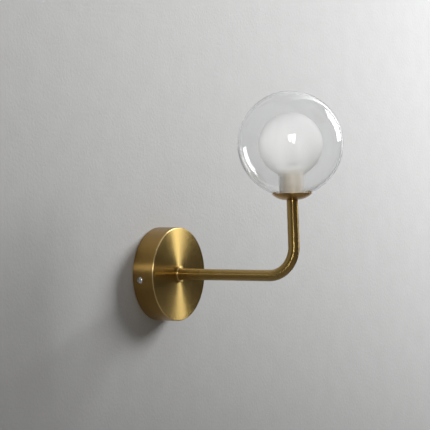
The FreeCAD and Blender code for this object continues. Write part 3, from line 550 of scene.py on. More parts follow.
class Spine:
    """The line that a turned piece follows: straight along Z of a frame."""

    NEAR = 0.05

    def __init__(self, place: Matrix) -> None:
        """Take the frame, in metres."""
        self.place = place

    def point(self, radius: float, angle: float, along: float) -> Vector:
        """A point of the piece, from millimetres to metres in the row's frame."""
        local = Vector((radius * math.cos(angle), radius * math.sin(angle), along)) * MM
        return self.place @ local

    def direction(self, along: float) -> Vector:
        """The spine's direction at a distance along it."""
        before, after = (self.point(0.0, 0.0, along + step) for step in (-self.NEAR, self.NEAR))
        return (after - before).normalized()


@dataclass
class ArmSpine(Spine):
    """The arm's centre line: level out of the wall, one bend, then up the leaning stem."""

    reach: float
    bend: float
    lean: float
    level: float = field(init=False)
    turn: float = field(init=False)

    def __post_init__(self) -> None:
        """Work out where the bend starts and how far it turns."""
        self.turn = QUARTER + self.lean
        self.level = self.reach - self.bend * math.tan(self.turn / 2)

    def along_stem(self, height: float) -> float:
        """Distance along the line of a height up the stem from the stem's foot."""
        stem_start = self.level + self.bend * self.turn
        return stem_start + height - self.bend * math.tan(self.turn / 2)

    def point(self, radius: float, angle: float, along: float) -> Vector:
        """A point round the arm.

        Args:
            radius: Its distance from the centre line, in millimetres.
            angle: Its angle round the centre line.
            along: Its distance along the centre line, in millimetres.

        Returns:
            The point in metres.
        """
        bent = min(max(along - self.level, 0.0) / self.bend, self.turn)
        straight = along - min(along, self.level) - bent * self.bend
        ahead = Vector((0.0, -math.cos(bent), math.sin(bent)))
        upper = ahead.cross(Vector((1.0, 0.0, 0.0)))
        centre = Vector((0.0, -min(along, self.level) - self.bend * math.sin(bent),
                         self.bend * (1 - math.cos(bent)))) + ahead * straight
        around = Vector((radius * math.cos(angle), 0.0, 0.0)) + upper * (radius * math.sin(angle))
        return (centre + around) * MM


class Maker:
    """Makes meshes and dresses finished pieces."""

    SHARP = math.radians(32)
    BEVELLED = math.radians(40)
    FLAT = math.radians(0.6)
    SAME_POINT = 2e-6
    POLE = 1e-6

    @staticmethod
    def link(name: str, data: bpy.types.ID) -> Piece:
        """Put a mesh, a lamp or a camera in the scene.

        Args:
            name: The object's name.
            data: What it holds.

        Returns:
            The object, at the origin.
        """
        piece = bpy.data.objects.new(name, data)
        bpy.context.scene.collection.objects.link(piece)
        return piece

    @classmethod
    def blank(cls, name: str) -> Piece:
        """An object with an empty mesh."""
        return cls.link(name, bpy.data.meshes.new(name))

    @staticmethod
    @contextmanager
    def editing(mesh: bpy.types.Mesh) -> Iterator[bmesh.types.BMesh]:
        """Open a mesh for editing and write it back at the end.

        Args:
            mesh: The mesh.

        Yields:
            The open mesh.
        """
        build = bmesh.new()
        build.from_mesh(mesh)
        yield build
        build.to_mesh(mesh)
        build.free()

    @classmethod
    def smooth(cls, mesh: bpy.types.Mesh) -> None:
        """Shade a mesh smooth, except over its sharp edges."""
        mesh.shade_smooth()
        mesh.set_sharp_from_angle(angle=cls.SHARP)

    @classmethod
    def turned(cls, name: str, profile: Profile, spine: Spine, steps: int = 192) -> Piece:
        """Turn an outline about a spine.

        Args:
            name: The piece's name.
            profile: Its closed outline.
            spine: The line it follows.
            steps: Faces round the turn.

        Returns:
            The piece, with a UV map that runs round it and along the outline, and the spine's direction.
        """
        outline = profile.outward()
        piece = cls.blank(name)
        with cls.editing(piece.data) as build:
            build.loops.layers.uv.new("UVMap")
            rings = [[build.verts.new(spine.point(radius, 2 * math.pi * k / steps, height))
                      for k in range(steps if radius > cls.POLE else 1)] for radius, height in outline]
            travelled = 0.0
            for index, (radius, height) in enumerate(outline):
                after = (index + 1) % len(outline)
                end = travelled + math.hypot(outline[after][0] - radius, outline[after][1] - height)
                if len(rings[index]) > 1 or len(rings[after]) > 1:
                    for k in range(steps):
                        cls._face(build, k, steps, ((rings[index], travelled * MM), (rings[after], end * MM)))
                travelled = end
        run = piece.data.attributes.new("run", "FLOAT_VECTOR", "POINT")
        directions = [spine.direction(height) for ring, (_, height) in zip(rings, outline) for _ in ring]
        run.data.foreach_set("vector", [value for direction in directions for value in direction])
        cls.smooth(piece.data)
        return piece

    @staticmethod
    def _face(build: bmesh.types.BMesh, k: int, steps: int, ends: Sequence[tuple[list, float]]) -> None:
        """Add one face between two rings, or a triangle at a pole.

        Args:
            build: The open mesh, with its UV map.
            k: The face's number round the turn.
            steps: Faces round the turn.
            ends: Each ring's vertices and its distance along the outline, in metres.
        """
        (low, start), (high, end) = ends
        after = (k + 1) % steps
        corners: dict = {}
        for ring, number, across, along in ((low, k, k, start), (low, after, k + 1, start),
                                            (high, after, k + 1, end), (high, k, k, end)):
            corners.setdefault(ring[number % len(ring)], (across / steps, along))
        layer = build.loops.layers.uv.active
        for loop, place in zip(build.faces.new(list(corners)).loops, corners.values()):
            loop[layer].uv = place

    @classmethod
    def settle(cls, piece: Piece) -> None:
        """Make a piece's modifiers part of its mesh.

        Args:
            piece: The piece.
        """
        graph = bpy.context.evaluated_depsgraph_get()
        mesh = bpy.data.meshes.new_from_object(piece.evaluated_get(graph), depsgraph=graph)
        piece.modifiers.clear()
        piece.data = mesh
        cls.smooth(mesh)

    @classmethod
    def modify(cls, piece: Piece, kind: str, **settings: object) -> None:
        """Put a piece through one modifier and keep the result as its mesh.

        Args:
            piece: The piece.
            kind: The modifier's type.
            settings: Its settings by name.
        """
        modifier = piece.modifiers.new(kind.lower(), kind)
        for name, value in settings.items():
            setattr(modifier, name, value)
        cls.settle(piece)

    @classmethod
    def combine(cls, piece: Piece, tool: Piece, operation: str) -> None:
        """Cut a tool out of a piece, or add it to the piece, and remove the tool."""
        cls.modify(piece, "BOOLEAN", operation=operation, solver="EXACT", object=tool)
        bpy.data.objects.remove(tool)

    @classmethod
    def join(cls, piece: Piece, *others: Piece) -> None:
        """Put the meshes of other objects into a piece's mesh and remove them.

        Args:
            piece: The piece.
            others: The other objects.
        """
        with cls.editing(piece.data) as build:
            for other in others:
                build.from_mesh(other.data)
                bpy.data.objects.remove(other)
        cls.smooth(piece.data)

    @classmethod
    def box(cls, name: str, low: Triple, high: Triple, place: Matrix, edge: float = 0.0) -> Piece:
        """Make a box.

        Args:
            name: Its name.
            low: Its lower corner in the frame, in millimetres.
            high: Its upper corner.
            place: The frame, in metres.
            edge: Rounding of its edges.

        Returns:
            The box.
        """
        piece = cls.blank(name)
        middle = [(a + b) / 2 for a, b in zip(low, high)]
        with cls.editing(piece.data) as build:
            bmesh.ops.create_cube(build, size=1.0)
            for vertex in build.verts:
                vertex.co = Vector([m + c * (b - a) for m, c, a, b in zip(middle, vertex.co, low, high)]) * MM
            if edge:
                bmesh.ops.bevel(build, geom=build.edges[:], offset=edge * MM, segments=3, affect="EDGES",
                                profile=0.5)
            build.transform(place)
        cls.smooth(piece.data)
        return piece

    @classmethod
    def refined(cls, node: str, edge: float) -> Piece:
        """Copy a CAD node's mesh, merged, with its sharp edges rounded.

        Args:
            node: The node.
            edge: Width of the rounding in millimetres, 0 for none.

        Returns:
            The piece.
        """
        name = f"{node}_piece"
        mesh = frame["nodes"][node].data.copy()
        mesh.name = name
        with cls.editing(mesh) as build:
            bmesh.ops.remove_doubles(build, verts=build.verts, dist=cls.SAME_POINT)
            bmesh.ops.dissolve_limit(build, angle_limit=cls.FLAT, verts=build.verts, edges=build.edges)
        piece = cls.link(name, mesh)
        if edge:
            cls.modify(piece, "BEVEL", width=edge * MM, segments=2, limit_method="ANGLE",
                       angle_limit=cls.BEVELLED, use_clamp_overlap=True)
            cls.modify(piece, "WEIGHTED_NORMAL", mode="FACE_AREA_WITH_ANGLE", keep_sharp=True)
        else:
            cls.smooth(mesh)
        return piece

    @classmethod
    def refine(cls, finish: Finish, edge: float, *nodes: str, body: Body = Body.FIXTURE) -> None:
        """Refine and finish CAD nodes one by one."""
        for node in nodes:
            cls.finish(cls.refined(node, edge), finish, node, body=body)

    @staticmethod
    def finish(piece: Piece, finish: Finish, *nodes: str, body: Body = Body.FIXTURE) -> None:
        """Dress a piece, let it ride on its body and hide the CAD nodes that it stands for.

        Args:
            piece: The piece.
            finish: Its finish.
            nodes: The CAD nodes.
            body: Its body.
        """
        piece.data.materials.clear()
        piece.data.materials.append(finish.material())
        for group in (finish.group, Group.PIECES):
            group.collection().objects.link(piece)
        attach(piece, body.value)
        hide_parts(*nodes)
        LOG.info("%s: %d faces, %s", piece.name, len(piece.data.polygons), finish.slot)


@dataclass(frozen=True)
class Helix:
    """A ridge or a round wire wound along Z by a Geometry Nodes tree; wire is the section's radius."""

    radius: float
    pitch: float
    turns: float
    wire: float
    finish: Finish
    sides: int = 3
    turn_steps: ClassVar[int] = 24
    inputs: ClassVar[dict[str, str]] = {
        "Radius": "Float", "Pitch": "Float", "Turns": "Float", "Wire": "Float", "Steps": "Int",
        "Sides": "Int", "Material": "Material"}

    @classmethod
    def _tree(cls) -> bpy.types.NodeTree:
        """The tree, made on the first call: spiral curve, section along it, real mesh, material.

        Returns:
            The tree.
        """
        found = bpy.data.node_groups.get("helix")
        if found is not None:
            return found
        tree = bpy.data.node_groups.new("helix", "GeometryNodeTree")
        for name, kind in cls.inputs.items():
            tree.interface.new_socket(name, in_out="INPUT", socket_type=f"NodeSocket{kind}")
        tree.interface.new_socket("Geometry", in_out="OUTPUT", socket_type="NodeSocketGeometry")
        graph = Graph(tree)
        chosen = graph.add("NodeGroupInput").outputs
        spiral = graph.value("GeometryNodeCurveSpiral", {
            "Resolution": chosen["Steps"], "Rotations": chosen["Turns"], "Start Radius": chosen["Radius"],
            "End Radius": chosen["Radius"], "Height": Wire(graph, chosen["Pitch"]) * chosen["Turns"]})
        section = graph.value("GeometryNodeCurvePrimitiveCircle", {
            "Resolution": chosen["Sides"], "Radius": chosen["Wire"]}, mode="RADIUS")
        swept = graph.value("GeometryNodeCurveToMesh", {
            "Curve": spiral, "Profile Curve": section, "Fill Caps": True})
        real = graph.value("GeometryNodeRealizeInstances", {0: swept})
        dressed = graph.value("GeometryNodeSetMaterial", {"Geometry": real, "Material": chosen["Material"]})
        graph.add("NodeGroupOutput", {0: dressed})
        return tree

    def wind(self, name: str, place: Matrix) -> Piece:
        """Wind the helix.

        Args:
            name: The object's name.
            place: The frame whose Z the helix climbs, in metres.

        Returns:
            The helix as a plain mesh object.
        """
        piece = Maker.blank(name)
        winding = piece.modifiers.new("helix", "NODES")
        winding.node_group = self._tree()
        chosen = {"Radius": self.radius * MM, "Pitch": self.pitch * MM, "Turns": float(self.turns),
                  "Wire": self.wire * MM, "Steps": int(self.turn_steps * self.turns), "Sides": self.sides,
                  "Material": self.finish.material()}
        for item in winding.node_group.interface.items_tree:
            if item.name in chosen:
                winding[item.identifier] = chosen[item.name]
        Maker.settle(piece)
        piece.data.transform(place)
        return piece


# Frames and finishes of this sconce


class Frames:
    """The frames that the sconce is built in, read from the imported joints."""

    CLOCKED = math.radians(6.5)

    def __init__(self) -> None:
        """Find the stem's foot and lean from the joint that the glass turns on."""
        joint = next(item for item in frame["joints"] if item["name"] == "shade_turn")
        axis = Vector(joint["axis"]).normalized()
        point = Vector(joint["pos_m"])
        foot = point - axis * (point.z / axis.z)
        side = Vector((1.0, 0.0, 0.0))
        self.lean = math.atan2(axis.y, axis.z)
        self.reach = -foot.y / MM
        self.wall = Matrix(((1, 0, 0, 0), (0, 0, -1, 0), (0, 1, 0, 0), (0, 0, 0, 1)))
        self.clocked = self.wall @ Matrix.Rotation(self.CLOCKED, 4, "Z")
        self.stem = Matrix.Translation(foot) @ Matrix((side, axis.cross(side), axis)).transposed().to_4x4()
        self.foot = tuple(foot)
        self.axis = tuple(axis)

    def height(self, along: float) -> float:
        """A height up the stem in millimetres, as metres along the stem's axis from the origin."""
        return Vector(self.foot).dot(Vector(self.axis)) + along * MM

    @staticmethod
    def moved(place: Matrix, height: float, aside: float = 0.0) -> Matrix:
        """A frame moved along its own Z and X by millimetres."""
        return place @ Matrix.Translation((aside * MM, 0.0, height * MM))


FRAMES = Frames()
# The canopy's brass, also on the collar, gets painted shade on its side: darker and browner there.
CANOPY_BRASS = TurnedBrass("brass_canopy", "brushed_brass", spread=0.28, buffed=0.9, dome=0.012, side=0.5,
                           side_painted_shade=(0.71, 0.62, 0.58))
CUP_BRASS = TurnedBrass("brass_cup", "brushed_brass", (0.51, 0.32, 0.11), spread=0.15, centre=FRAMES.foot,
                        axis=FRAMES.axis)
TUBE_BRASS = DrawnBrass("brass_tube", "brushed_brass_tube", (0.42, 0.287, 0.098), roughness=0.11)
BARE_BRASS = SatinMetal("brass_bare", "bare_brass", (0.78, 0.60, 0.28), 0.28)
BRIGHT_STEEL = SatinMetal("steel_bright", "bright_steel", (0.62, 0.63, 0.64), 0.2, 0.03)
ZINC_STEEL = SatinMetal("steel_zinc", "zinc_steel", (0.66, 0.67, 0.68), 0.36, 0.12, 120.0)
TINNED_COPPER = SatinMetal("copper_tinned", "tinned_copper", (0.78, 0.77, 0.74), 0.30)
NICKEL = SatinMetal("nickel", "nickel_strip", (0.72, 0.70, 0.66), 0.24)
TUNGSTEN = SatinMetal("tungsten_wire", "tungsten", (0.35, 0.34, 0.33), 0.40)
POLYAMIDE = Moulded("polyamide_white", "white_polyamide", (0.85, 0.84, 0.80), 0.42)
BEIGE_PLASTIC = Moulded("plastic_beige", "beige_plastic", (0.50, 0.39, 0.25), 0.45)
CERAMIC = Moulded("ceramic_cream", "cream_ceramic", (0.43, 0.345, 0.225), 0.62, 0.06, 800.0, 0.00004)
BROWN_LEAD = Moulded("insulation_brown", "live_insulation", (0.20, 0.085, 0.04))
BLUE_LEAD = Moulded("insulation_blue", "neutral_insulation", (0.03, 0.13, 0.42))
EARTH_LEAD = StripedInsulation("insulation_earth", "earth_insulation")
SILICONE = Moulded("silicone_clear", "clear_silicone", (0.74, 0.74, 0.70), 0.35)
GLOBE_GLASS = ClearGlass("glass_clear", "clear_glass", ripple=0.00025)
FROSTED = FrostedGlass("glass_frosted", "frosted_glass")
BULB_GLASS = ClearGlass("glass_bulb", "bulb_glass", (0.99, 0.99, 0.99))


# The sconce


@dataclass
class Canopy:
    """The round cover on the wall and its two side screws."""

    radius: float = 50.0
    depth: float = 25.5
    wall: float = 1.0
    edge: float = 1.2
    back_edge: float = 0.15
    inside_edge: float = 0.6
    middle_hole: float = 5.1
    screw_hole: float = 2.2
    screw_depth: float = 9.0
    screw_gap: float = 0.02

    def build(self) -> None:
        """Make the cover and the screws."""
        self._cover()
        for side, node in ((-1, "canopy_screw_left"), (1, "canopy_screw_right")):
            place = FRAMES.moved(FRAMES.clocked, self.screw_depth, side * (self.radius + self.screw_gap))
            DomedScrew().build(node, place @ Matrix.Rotation(side * QUARTER, 4, "Y"))

    def _cover(self) -> None:
        """Turn the cover and drill its side."""
        inside, inside_face = self.radius - self.wall, self.depth - self.wall
        profile = Profile(self.middle_hole, inside_face).line(self.middle_hole, self.depth)
        profile.line(self.radius - self.edge, self.depth, 12)
        profile.arc(self.radius, self.depth - self.edge, -self.edge)
        profile.line(self.radius, self.back_edge).line(self.radius - self.back_edge, 0.0).line(inside, 0.0)
        profile.line(inside, inside_face - self.inside_edge)
        profile.arc(inside - self.inside_edge, inside_face, self.inside_edge, 4)
        cover = Maker.turned("canopy_cover", profile, Spine(FRAMES.wall), 256)
        reach, hole = self.radius + 10.0, self.screw_hole
        drill = Profile(0.0, -reach).line(hole, -reach).line(hole, reach).line(0.0, reach)
        place = FRAMES.moved(FRAMES.clocked, self.screw_depth) @ Matrix.Rotation(QUARTER, 4, "Y")
        Maker.combine(cover, Maker.turned("drill", drill, Spine(place), 48), "DIFFERENCE")
        Maker.finish(cover, CANOPY_BRASS, "canopy_shell")


@dataclass
class DomedScrew:
    """A screw with a domed head and a cross recess; its seat is at height 0."""

    head: float = 3.6
    rim: float = 0.6
    top: float = 2.3
    soft: float = 0.1
    shank: float = 1.72
    length: float = 8.0
    point: float = 0.5
    slot_length: float = 4.2
    slot_width: float = 1.0
    slot_depth: float = 1.3
    pitch: float = 0.7
    ridge: float = 0.28
    thread_start: float = 0.3
    plain: float = 0.9

    def build(self, node: str, place: Matrix) -> None:
        """Turn the screw, cut its cross recess and wind its thread.

        Args:
            node: The CAD node that it stands for.
            place: The frame of its seat, Z along the head.
        """
        rise = self.top - self.rim
        dome = (self.head * self.head + rise * rise) / (2 * rise)
        profile = Profile(0.0, -self.length).line(self.shank - self.point, -self.length)
        profile.line(self.shank, self.point - self.length).line(self.shank, 0.0)
        profile.line(self.head - self.soft, 0.0).arc(self.head, self.soft, self.soft, 2)
        profile.line(self.head, self.rim - self.soft).arc(self.head - 0.06, self.rim + 0.08, 2 * self.soft, 2)
        profile.arc(0.0, self.top, dome, 16)
        screw = Maker.turned(f"{node}_piece", profile, Spine(place), 72)
        floor, above = self.top - self.slot_depth, self.top + 1.0
        for x, y in ((self.slot_length, self.slot_width), (self.slot_width, self.slot_length)):
            slot = Maker.box("recess", (-x / 2, -y / 2, floor), (x / 2, y / 2, above), place)
            Maker.combine(screw, slot, "DIFFERENCE")
        turns = (self.length - self.plain) / self.pitch
        thread = Helix(self.shank - 0.02, self.pitch, turns, self.ridge, BRIGHT_STEEL)
        Maker.join(screw, thread.wind("thread", FRAMES.moved(place, self.thread_start - self.length)))
        Maker.finish(screw, BRIGHT_STEEL, node)


@dataclass
class Arm:
    """The bent tube, the collar at its root and the nipples in its ends."""

    bend: float = 30.0
    radius: float = 6.0
    bore: float = 4.5
    socket: float = 5.04
    socket_depth: float = 12.0
    root: float = 26.5
    stem_top: float = 78.9
    lip: float = 0.2
    collar: float = 8.6
    collar_hole: float = 5.1
    collar_mouth: float = 6.05
    collar_foot: float = 25.5
    collar_height: float = 3.2
    nipple_start: float = 14.0
    nipple_grip: float = 11.0
    nipple_top: float = 85.56
    nipple_core: float = 4.66
    nipple_bore: float = 3.9
    nipple_chamfer: float = 0.3
    pitch: float = 1.0
    ridge: float = 0.34

    def build(self) -> None:
        """Make the tube, the collar, the nipples, the nuts, the washer and the bush."""
        self._tube()
        self._collar()
        self._nipple("arm_nipple", FRAMES.wall, self.nipple_start, self.root + self.nipple_grip)
        self._nipple("cup_nipple", FRAMES.stem, self.stem_top - self.nipple_grip, self.nipple_top)
        Maker.refine(ZINC_STEEL, 0.1, "arm_nut", "cup_nut", "arm_lock_washer")
        Maker.refine(POLYAMIDE, 0.2, "cable_bush")

    def _tube(self) -> None:
        """Run the tube's wall along the arm's centre line."""
        spine = ArmSpine(reach=FRAMES.reach, bend=self.bend, lean=FRAMES.lean)
        start, end, lip, steps = self.root, spine.along_stem(self.stem_top), self.lip, 120
        profile = Profile(self.socket, start).line(self.radius - lip, start)
        profile.arc(self.radius, start + lip, lip, 3).line(self.radius, end - lip, steps)
        profile.arc(self.radius - lip, end, lip, 3).line(self.socket, end)
        profile.line(self.socket, end - self.socket_depth, 4).line(self.bore, end - self.socket_depth)
        profile.line(self.bore, start + self.socket_depth, steps).line(self.socket, start + self.socket_depth)
        Maker.finish(Maker.turned("arm_tube_piece", profile, spine, 96), TUBE_BRASS, "arm_tube")

    def _collar(self) -> None:
        """Turn the ring at the tube's root."""
        foot, top, floor = self.collar_foot, self.collar_foot + self.collar_height, self.collar_foot + 1.0
        foot_round, top_round = 0.4, 0.8
        profile = Profile(self.collar_hole, foot).line(self.collar - foot_round, foot)
        profile.arc(self.collar, foot + foot_round, foot_round, 4).line(self.collar, top - top_round)
        profile.arc(self.collar - top_round, top, top_round, 6).line(self.collar_mouth + self.lip, top)
        profile.line(self.collar_mouth, top - self.lip).line(self.collar_mouth, floor)
        profile.line(self.collar_hole, floor)
        collar = Maker.turned("arm_collar_piece", profile, Spine(FRAMES.wall), 160)
        Maker.finish(collar, CANOPY_BRASS, "arm_collar")

    def _nipple(self, node: str, place: Matrix, low: float, high: float) -> None:
        """Turn one hollow nipple and wind its thread.

        Args:
            node: The CAD node that it stands for.
            place: The frame whose Z it stands along.
            low: Height of its lower end.
            high: Height of its upper end.
        """
        core, bore, chamfer = self.nipple_core, self.nipple_bore, self.nipple_chamfer
        profile = Profile(bore, low).line(core - chamfer, low).line(core, low + chamfer)
        profile.line(core, high - chamfer).line(core - chamfer, high).line(bore, high)
        nipple = Maker.turned(f"{node}_piece", profile, Spine(place), 72)
        plain = 0.4
        thread = Helix(core - 0.02, self.pitch, (high - low - 2 * plain) / self.pitch, self.ridge, ZINC_STEEL)
        Maker.join(nipple, thread.wind("thread", FRAMES.moved(place, low + plain)))
        Maker.finish(nipple, ZINC_STEEL, node)


@dataclass
class CupAndHolder:
    """The brass cup, the seal in it and the lampholder on the stem."""

    rim_radius: float = 21.3
    rim_height: float = 85.7
    bottom: float = 78.9
    flat: float = 5.3
    hole: float = 5.1
    wall: float = 1.0
    lip: float = 0.2
    chamfer: float = 0.05

    def build(self) -> None:
        """Make the cup and refine the lampholder's parts and the gasket."""
        self._cup()
        Maker.refine(BEIGE_PLASTIC, 0.12, "lampholder_skirt")
        Maker.refine(CERAMIC, 0.2, "lampholder_body")
        Maker.refine(NICKEL, 0.05, "lampholder_contacts")
        Maker.refine(ZINC_STEEL, 0.12, "lampholder_screws")
        Maker.refine(SILICONE, 0.0, "glass_gasket", body=Body.SEAL)

    def _cup(self) -> None:
        """Turn the cup: a flat bottom and a side that is an arc."""
        spread, depth = self.rim_radius - self.flat, self.rim_height - self.bottom
        outside = (spread * spread + depth * depth) / (2 * depth)
        inside = outside - self.wall
        drop = self.bottom + outside - self.rim_height
        rim_inside = self.flat + math.sqrt(inside * inside - drop * drop)
        below_rim, floor = self.rim_height - self.lip, self.bottom + self.wall
        profile = Profile(self.hole, self.bottom).line(self.flat, self.bottom)
        profile.arc(self.rim_radius - self.chamfer, below_rim, outside, 28)
        profile.line(self.rim_radius - 2 * self.chamfer, self.rim_height)
        profile.line(rim_inside + self.lip, self.rim_height)
        profile.line(rim_inside - 0.02, below_rim).arc(self.flat, floor, -inside, 24).line(self.hole, floor)
        Maker.finish(Maker.turned("glass_cup_piece", profile, Spine(FRAMES.stem)), CUP_BRASS, "glass_cup")


@dataclass
class GlassShade:
    """The clear globe and the frosted globe with its neck."""

    clear_radius: float = 55.0
    clear_height: float = 137.3
    wall: float = 2.0
    frosted_radius: float = 33.5
    frosted_height: float = 136.4
    neck: float = 13.35
    neck_gap: float = 0.02
    fillet: float = 4.0

    def build(self) -> None:
        """Make both globes."""
        self._clear()
        self._frosted()

    def _clear(self) -> None:
        """Turn the clear globe with its open mouth."""
        outer, inner, mid = self.clear_radius, self.clear_radius - self.wall, self.clear_height
        mouth = self.neck + self.neck_gap
        low_out, low_in = (mid - math.sqrt(radius * radius - mouth * mouth) for radius in (outer, inner))
        profile = Profile(mouth, low_out).arc(outer, mid, outer, 56).arc(0.0, mid + outer, outer, 64)
        profile.line(0.0, mid + inner).arc(inner, mid, -inner, 64).arc(mouth, low_in, -inner, 56)
        globe = Maker.turned("clear_globe_piece", profile, Spine(FRAMES.stem), 224)
        Maker.finish(globe, GLOBE_GLASS, "outer_globe", body=Body.SHADE)

    def _frosted(self) -> None:
        """Turn the frosted globe, drawn in to its neck."""
        outer, inner, mid = self.frosted_radius, self.frosted_radius - self.wall, self.frosted_height
        bore = self.neck - self.wall
        foot = self.clear_height - math.sqrt(self.clear_radius ** 2 - self.neck ** 2)
        across = self.neck + self.fillet
        reach = outer + self.fillet
        rise = math.sqrt(reach * reach - across * across)
        turn = mid - rise
        profile = Profile(bore, foot).line(self.neck, foot).line(self.neck, turn, 10)
        profile.arc(across * outer / reach, mid - rise * outer / reach, -self.fillet, 12)
        profile.arc(outer, mid, outer, 40).arc(0.0, mid + outer, outer, 48).line(0.0, mid + inner)
        profile.arc(inner, mid, -inner, 48)
        profile.arc(across * inner / reach, mid - rise * inner / reach, -inner, 40)
        profile.arc(bore, turn, self.fillet + self.wall, 12).line(bore, foot, 10)
        globe = Maker.turned("frosted_globe_piece", profile, Spine(FRAMES.stem))
        Maker.finish(globe, FROSTED, "glass_neck", "frosted_globe_lower", "frosted_globe_upper",
                     body=Body.SHADE)


@dataclass
class CapsuleBulb:
    """The glass capsule, its filament and its two looped pins."""

    radius: float = 7.5
    wall: float = 0.9
    shoulder: float = 5.0
    pinch_foot: float = 104.7
    pinch_height: float = 10.0
    pinch_half_width: float = 6.6
    pinch_half_depth: float = 2.1
    pinch_edge: float = 0.6
    pinch_rise: float = 1.2
    floor: float = 0.4
    top: float = 143.5
    tip: float = 1.0
    tip_foot: float = 0.5
    tip_height: float = 1.6
    tip_hollow: float = 2.6
    tip_round: float = 1.05
    filament: float = 130.7
    coil_half: float = 4.0
    coil_radius: float = 0.62
    coil_pitch: float = 0.4
    coil_wire: float = 0.12
    post_radius: float = 0.22
    post_inset: float = 0.6
    post_foot: float = 8.0
    post_gap: float = 0.55

    def build(self) -> None:
        """Make the capsule, the filament and the pins."""
        self._envelope()
        self._filament()
        Maker.refine(NICKEL, 0.1, "bulb_pins", body=Body.BULB)

    def _envelope(self) -> None:
        """Turn the capsule, press its pinch and leave the cavity in it."""
        low, spine = self.pinch_foot + self.pinch_height, Spine(FRAMES.stem)
        flat, inside = self.radius - self.shoulder, self.radius - self.wall
        outer = Profile(0.0, low).line(flat, low).arc(self.radius, low + self.shoulder, self.shoulder, 12)
        outer.line(self.radius, self.top - self.shoulder, 6).arc(flat, self.top, self.shoulder, 12)
        outer.arc(self.tip, self.top + self.tip_foot, -self.tip_hollow, 5)
        outer.arc(0.0, self.top + self.tip_height, self.tip_round, 6)
        envelope = Maker.turned("bulb_envelope_piece", outer, spine, 96)
        wide, deep = self.pinch_half_width, self.pinch_half_depth
        pinch_top = low + self.wall + self.pinch_rise
        pinch = Maker.box("pinch", (-wide, -deep, self.pinch_foot), (wide, deep, pinch_top), FRAMES.stem,
                          self.pinch_edge)
        Maker.combine(envelope, pinch, "UNION")
        floor, ceiling, bend = low + self.wall + self.floor, self.top - self.wall, self.shoulder - self.wall
        cavity = Profile(0.0, floor).line(flat, floor).arc(inside, low + self.shoulder, bend, 10)
        cavity.line(inside, self.top - self.shoulder, 6).arc(flat, ceiling, bend, 10).line(0.0, ceiling)
        Maker.combine(envelope, Maker.turned("hollow", cavity, spine, 96), "DIFFERENCE")
        Maker.finish(envelope, BULB_GLASS, "bulb_envelope", body=Body.BULB)

    def _filament(self) -> None:
        """Wind the coil across the capsule and stand it on its two supports."""
        half = self.coil_half
        lying = FRAMES.moved(FRAMES.stem, self.filament, -half) @ Matrix.Rotation(QUARTER, 4, "Y")
        turns = 2 * half / self.coil_pitch
        coil = Helix(self.coil_radius, self.coil_pitch, turns, self.coil_wire, TUNGSTEN, 6)
        filament = coil.wind("bulb_filament_piece", lying)
        foot, top = self.pinch_foot + self.post_foot, self.filament - self.post_gap
        for side in (-1, 1):
            post = Profile(0.0, foot).line(self.post_radius, foot).line(self.post_radius, top).line(0.0, top)
            place = FRAMES.moved(FRAMES.stem, 0.0, side * (half - self.post_inset))
            Maker.join(filament, Maker.turned("post", post, Spine(place), 16))
        Maker.finish(filament, TUNGSTEN, "bulb_filament", body=Body.BULB)


class Wiring:
    """The bracket, the terminal block and the leads, with the width of each rounding."""

    PARTS = (("wall_bracket", ZINC_STEEL, 0.15),
             ("earth_screw", ZINC_STEEL, 0.12),
             ("earth_ring_terminal", TINNED_COPPER, 0.1),
             ("terminal_block_housing", POLYAMIDE, 0.25),
             ("terminal_inserts", BARE_BRASS, 0.1),
             ("terminal_screws", ZINC_STEEL, 0.1),
             ("terminal_fixing_screws", ZINC_STEEL, 0.1),
             ("lead_live", BROWN_LEAD, 0.0),
             ("lead_neutral", BLUE_LEAD, 0.0),
             ("earth_lead", EARTH_LEAD, 0.0))

    def build(self) -> None:
        """Refine each part."""
        for node, finish, edge in self.PARTS:
            Maker.refine(finish, edge, node)


# Studio


@dataclass(frozen=True)
class WallPaint(Finish):
    """Pale plaster wall, darker towards the floor by painted shade, with a faint mottle, seen only from its
    front.

    The painted shade follows the height, from low to high, plus a little of the way to the right: the colour
    stands in for light that falls off towards the floor and the left.
    """

    color: Triple = (0.808, 0.82, 0.826)
    # The next five fields set the painted shade in the wall's colour: darker towards the floor and the left.
    painted_light_slope: Triple = (0.2, 0.0, 1.0)
    low: float = -1.2
    high: float = 0.4
    painted_shade_at_low: float = -0.57
    darkest_painted_shade: float = 0.36
    clouds: float = 40.0
    mottle: float = 0.1
    plaster: float = 300.0
    relief: float = 0.0004

    def shade(self, graph: Graph) -> Wire:
        """Paint the front, with painted shade towards the floor and the left, and leave the back clear."""
        place = graph.object_place()
        height = graph.measure("DOT_PRODUCT", place, self.painted_light_slope)
        # Painted shade: a factor on the colour that falls from 1 high up to its least towards the floor and
        # the left.
        share = graph.eased(height, self.low, self.high, self.painted_shade_at_low).at_least(self.darkest_painted_shade)
        cloud = graph.noise(place, self.clouds, 6.0)
        paint = graph.value("ShaderNodeBsdfPrincipled", {
            "Base Color": graph.scaled(self.color, share * ((1 - self.mottle / 2) + cloud * self.mottle)),
            "Roughness": 0.85, "Normal": graph.bump(graph.noise(place, self.plaster, 5.0), self.relief, 0.5)})
        behind = graph.value("ShaderNodeNewGeometry", output="Backfacing")
        return graph.mix(behind, paint, graph.value("ShaderNodeBsdfTransparent"))


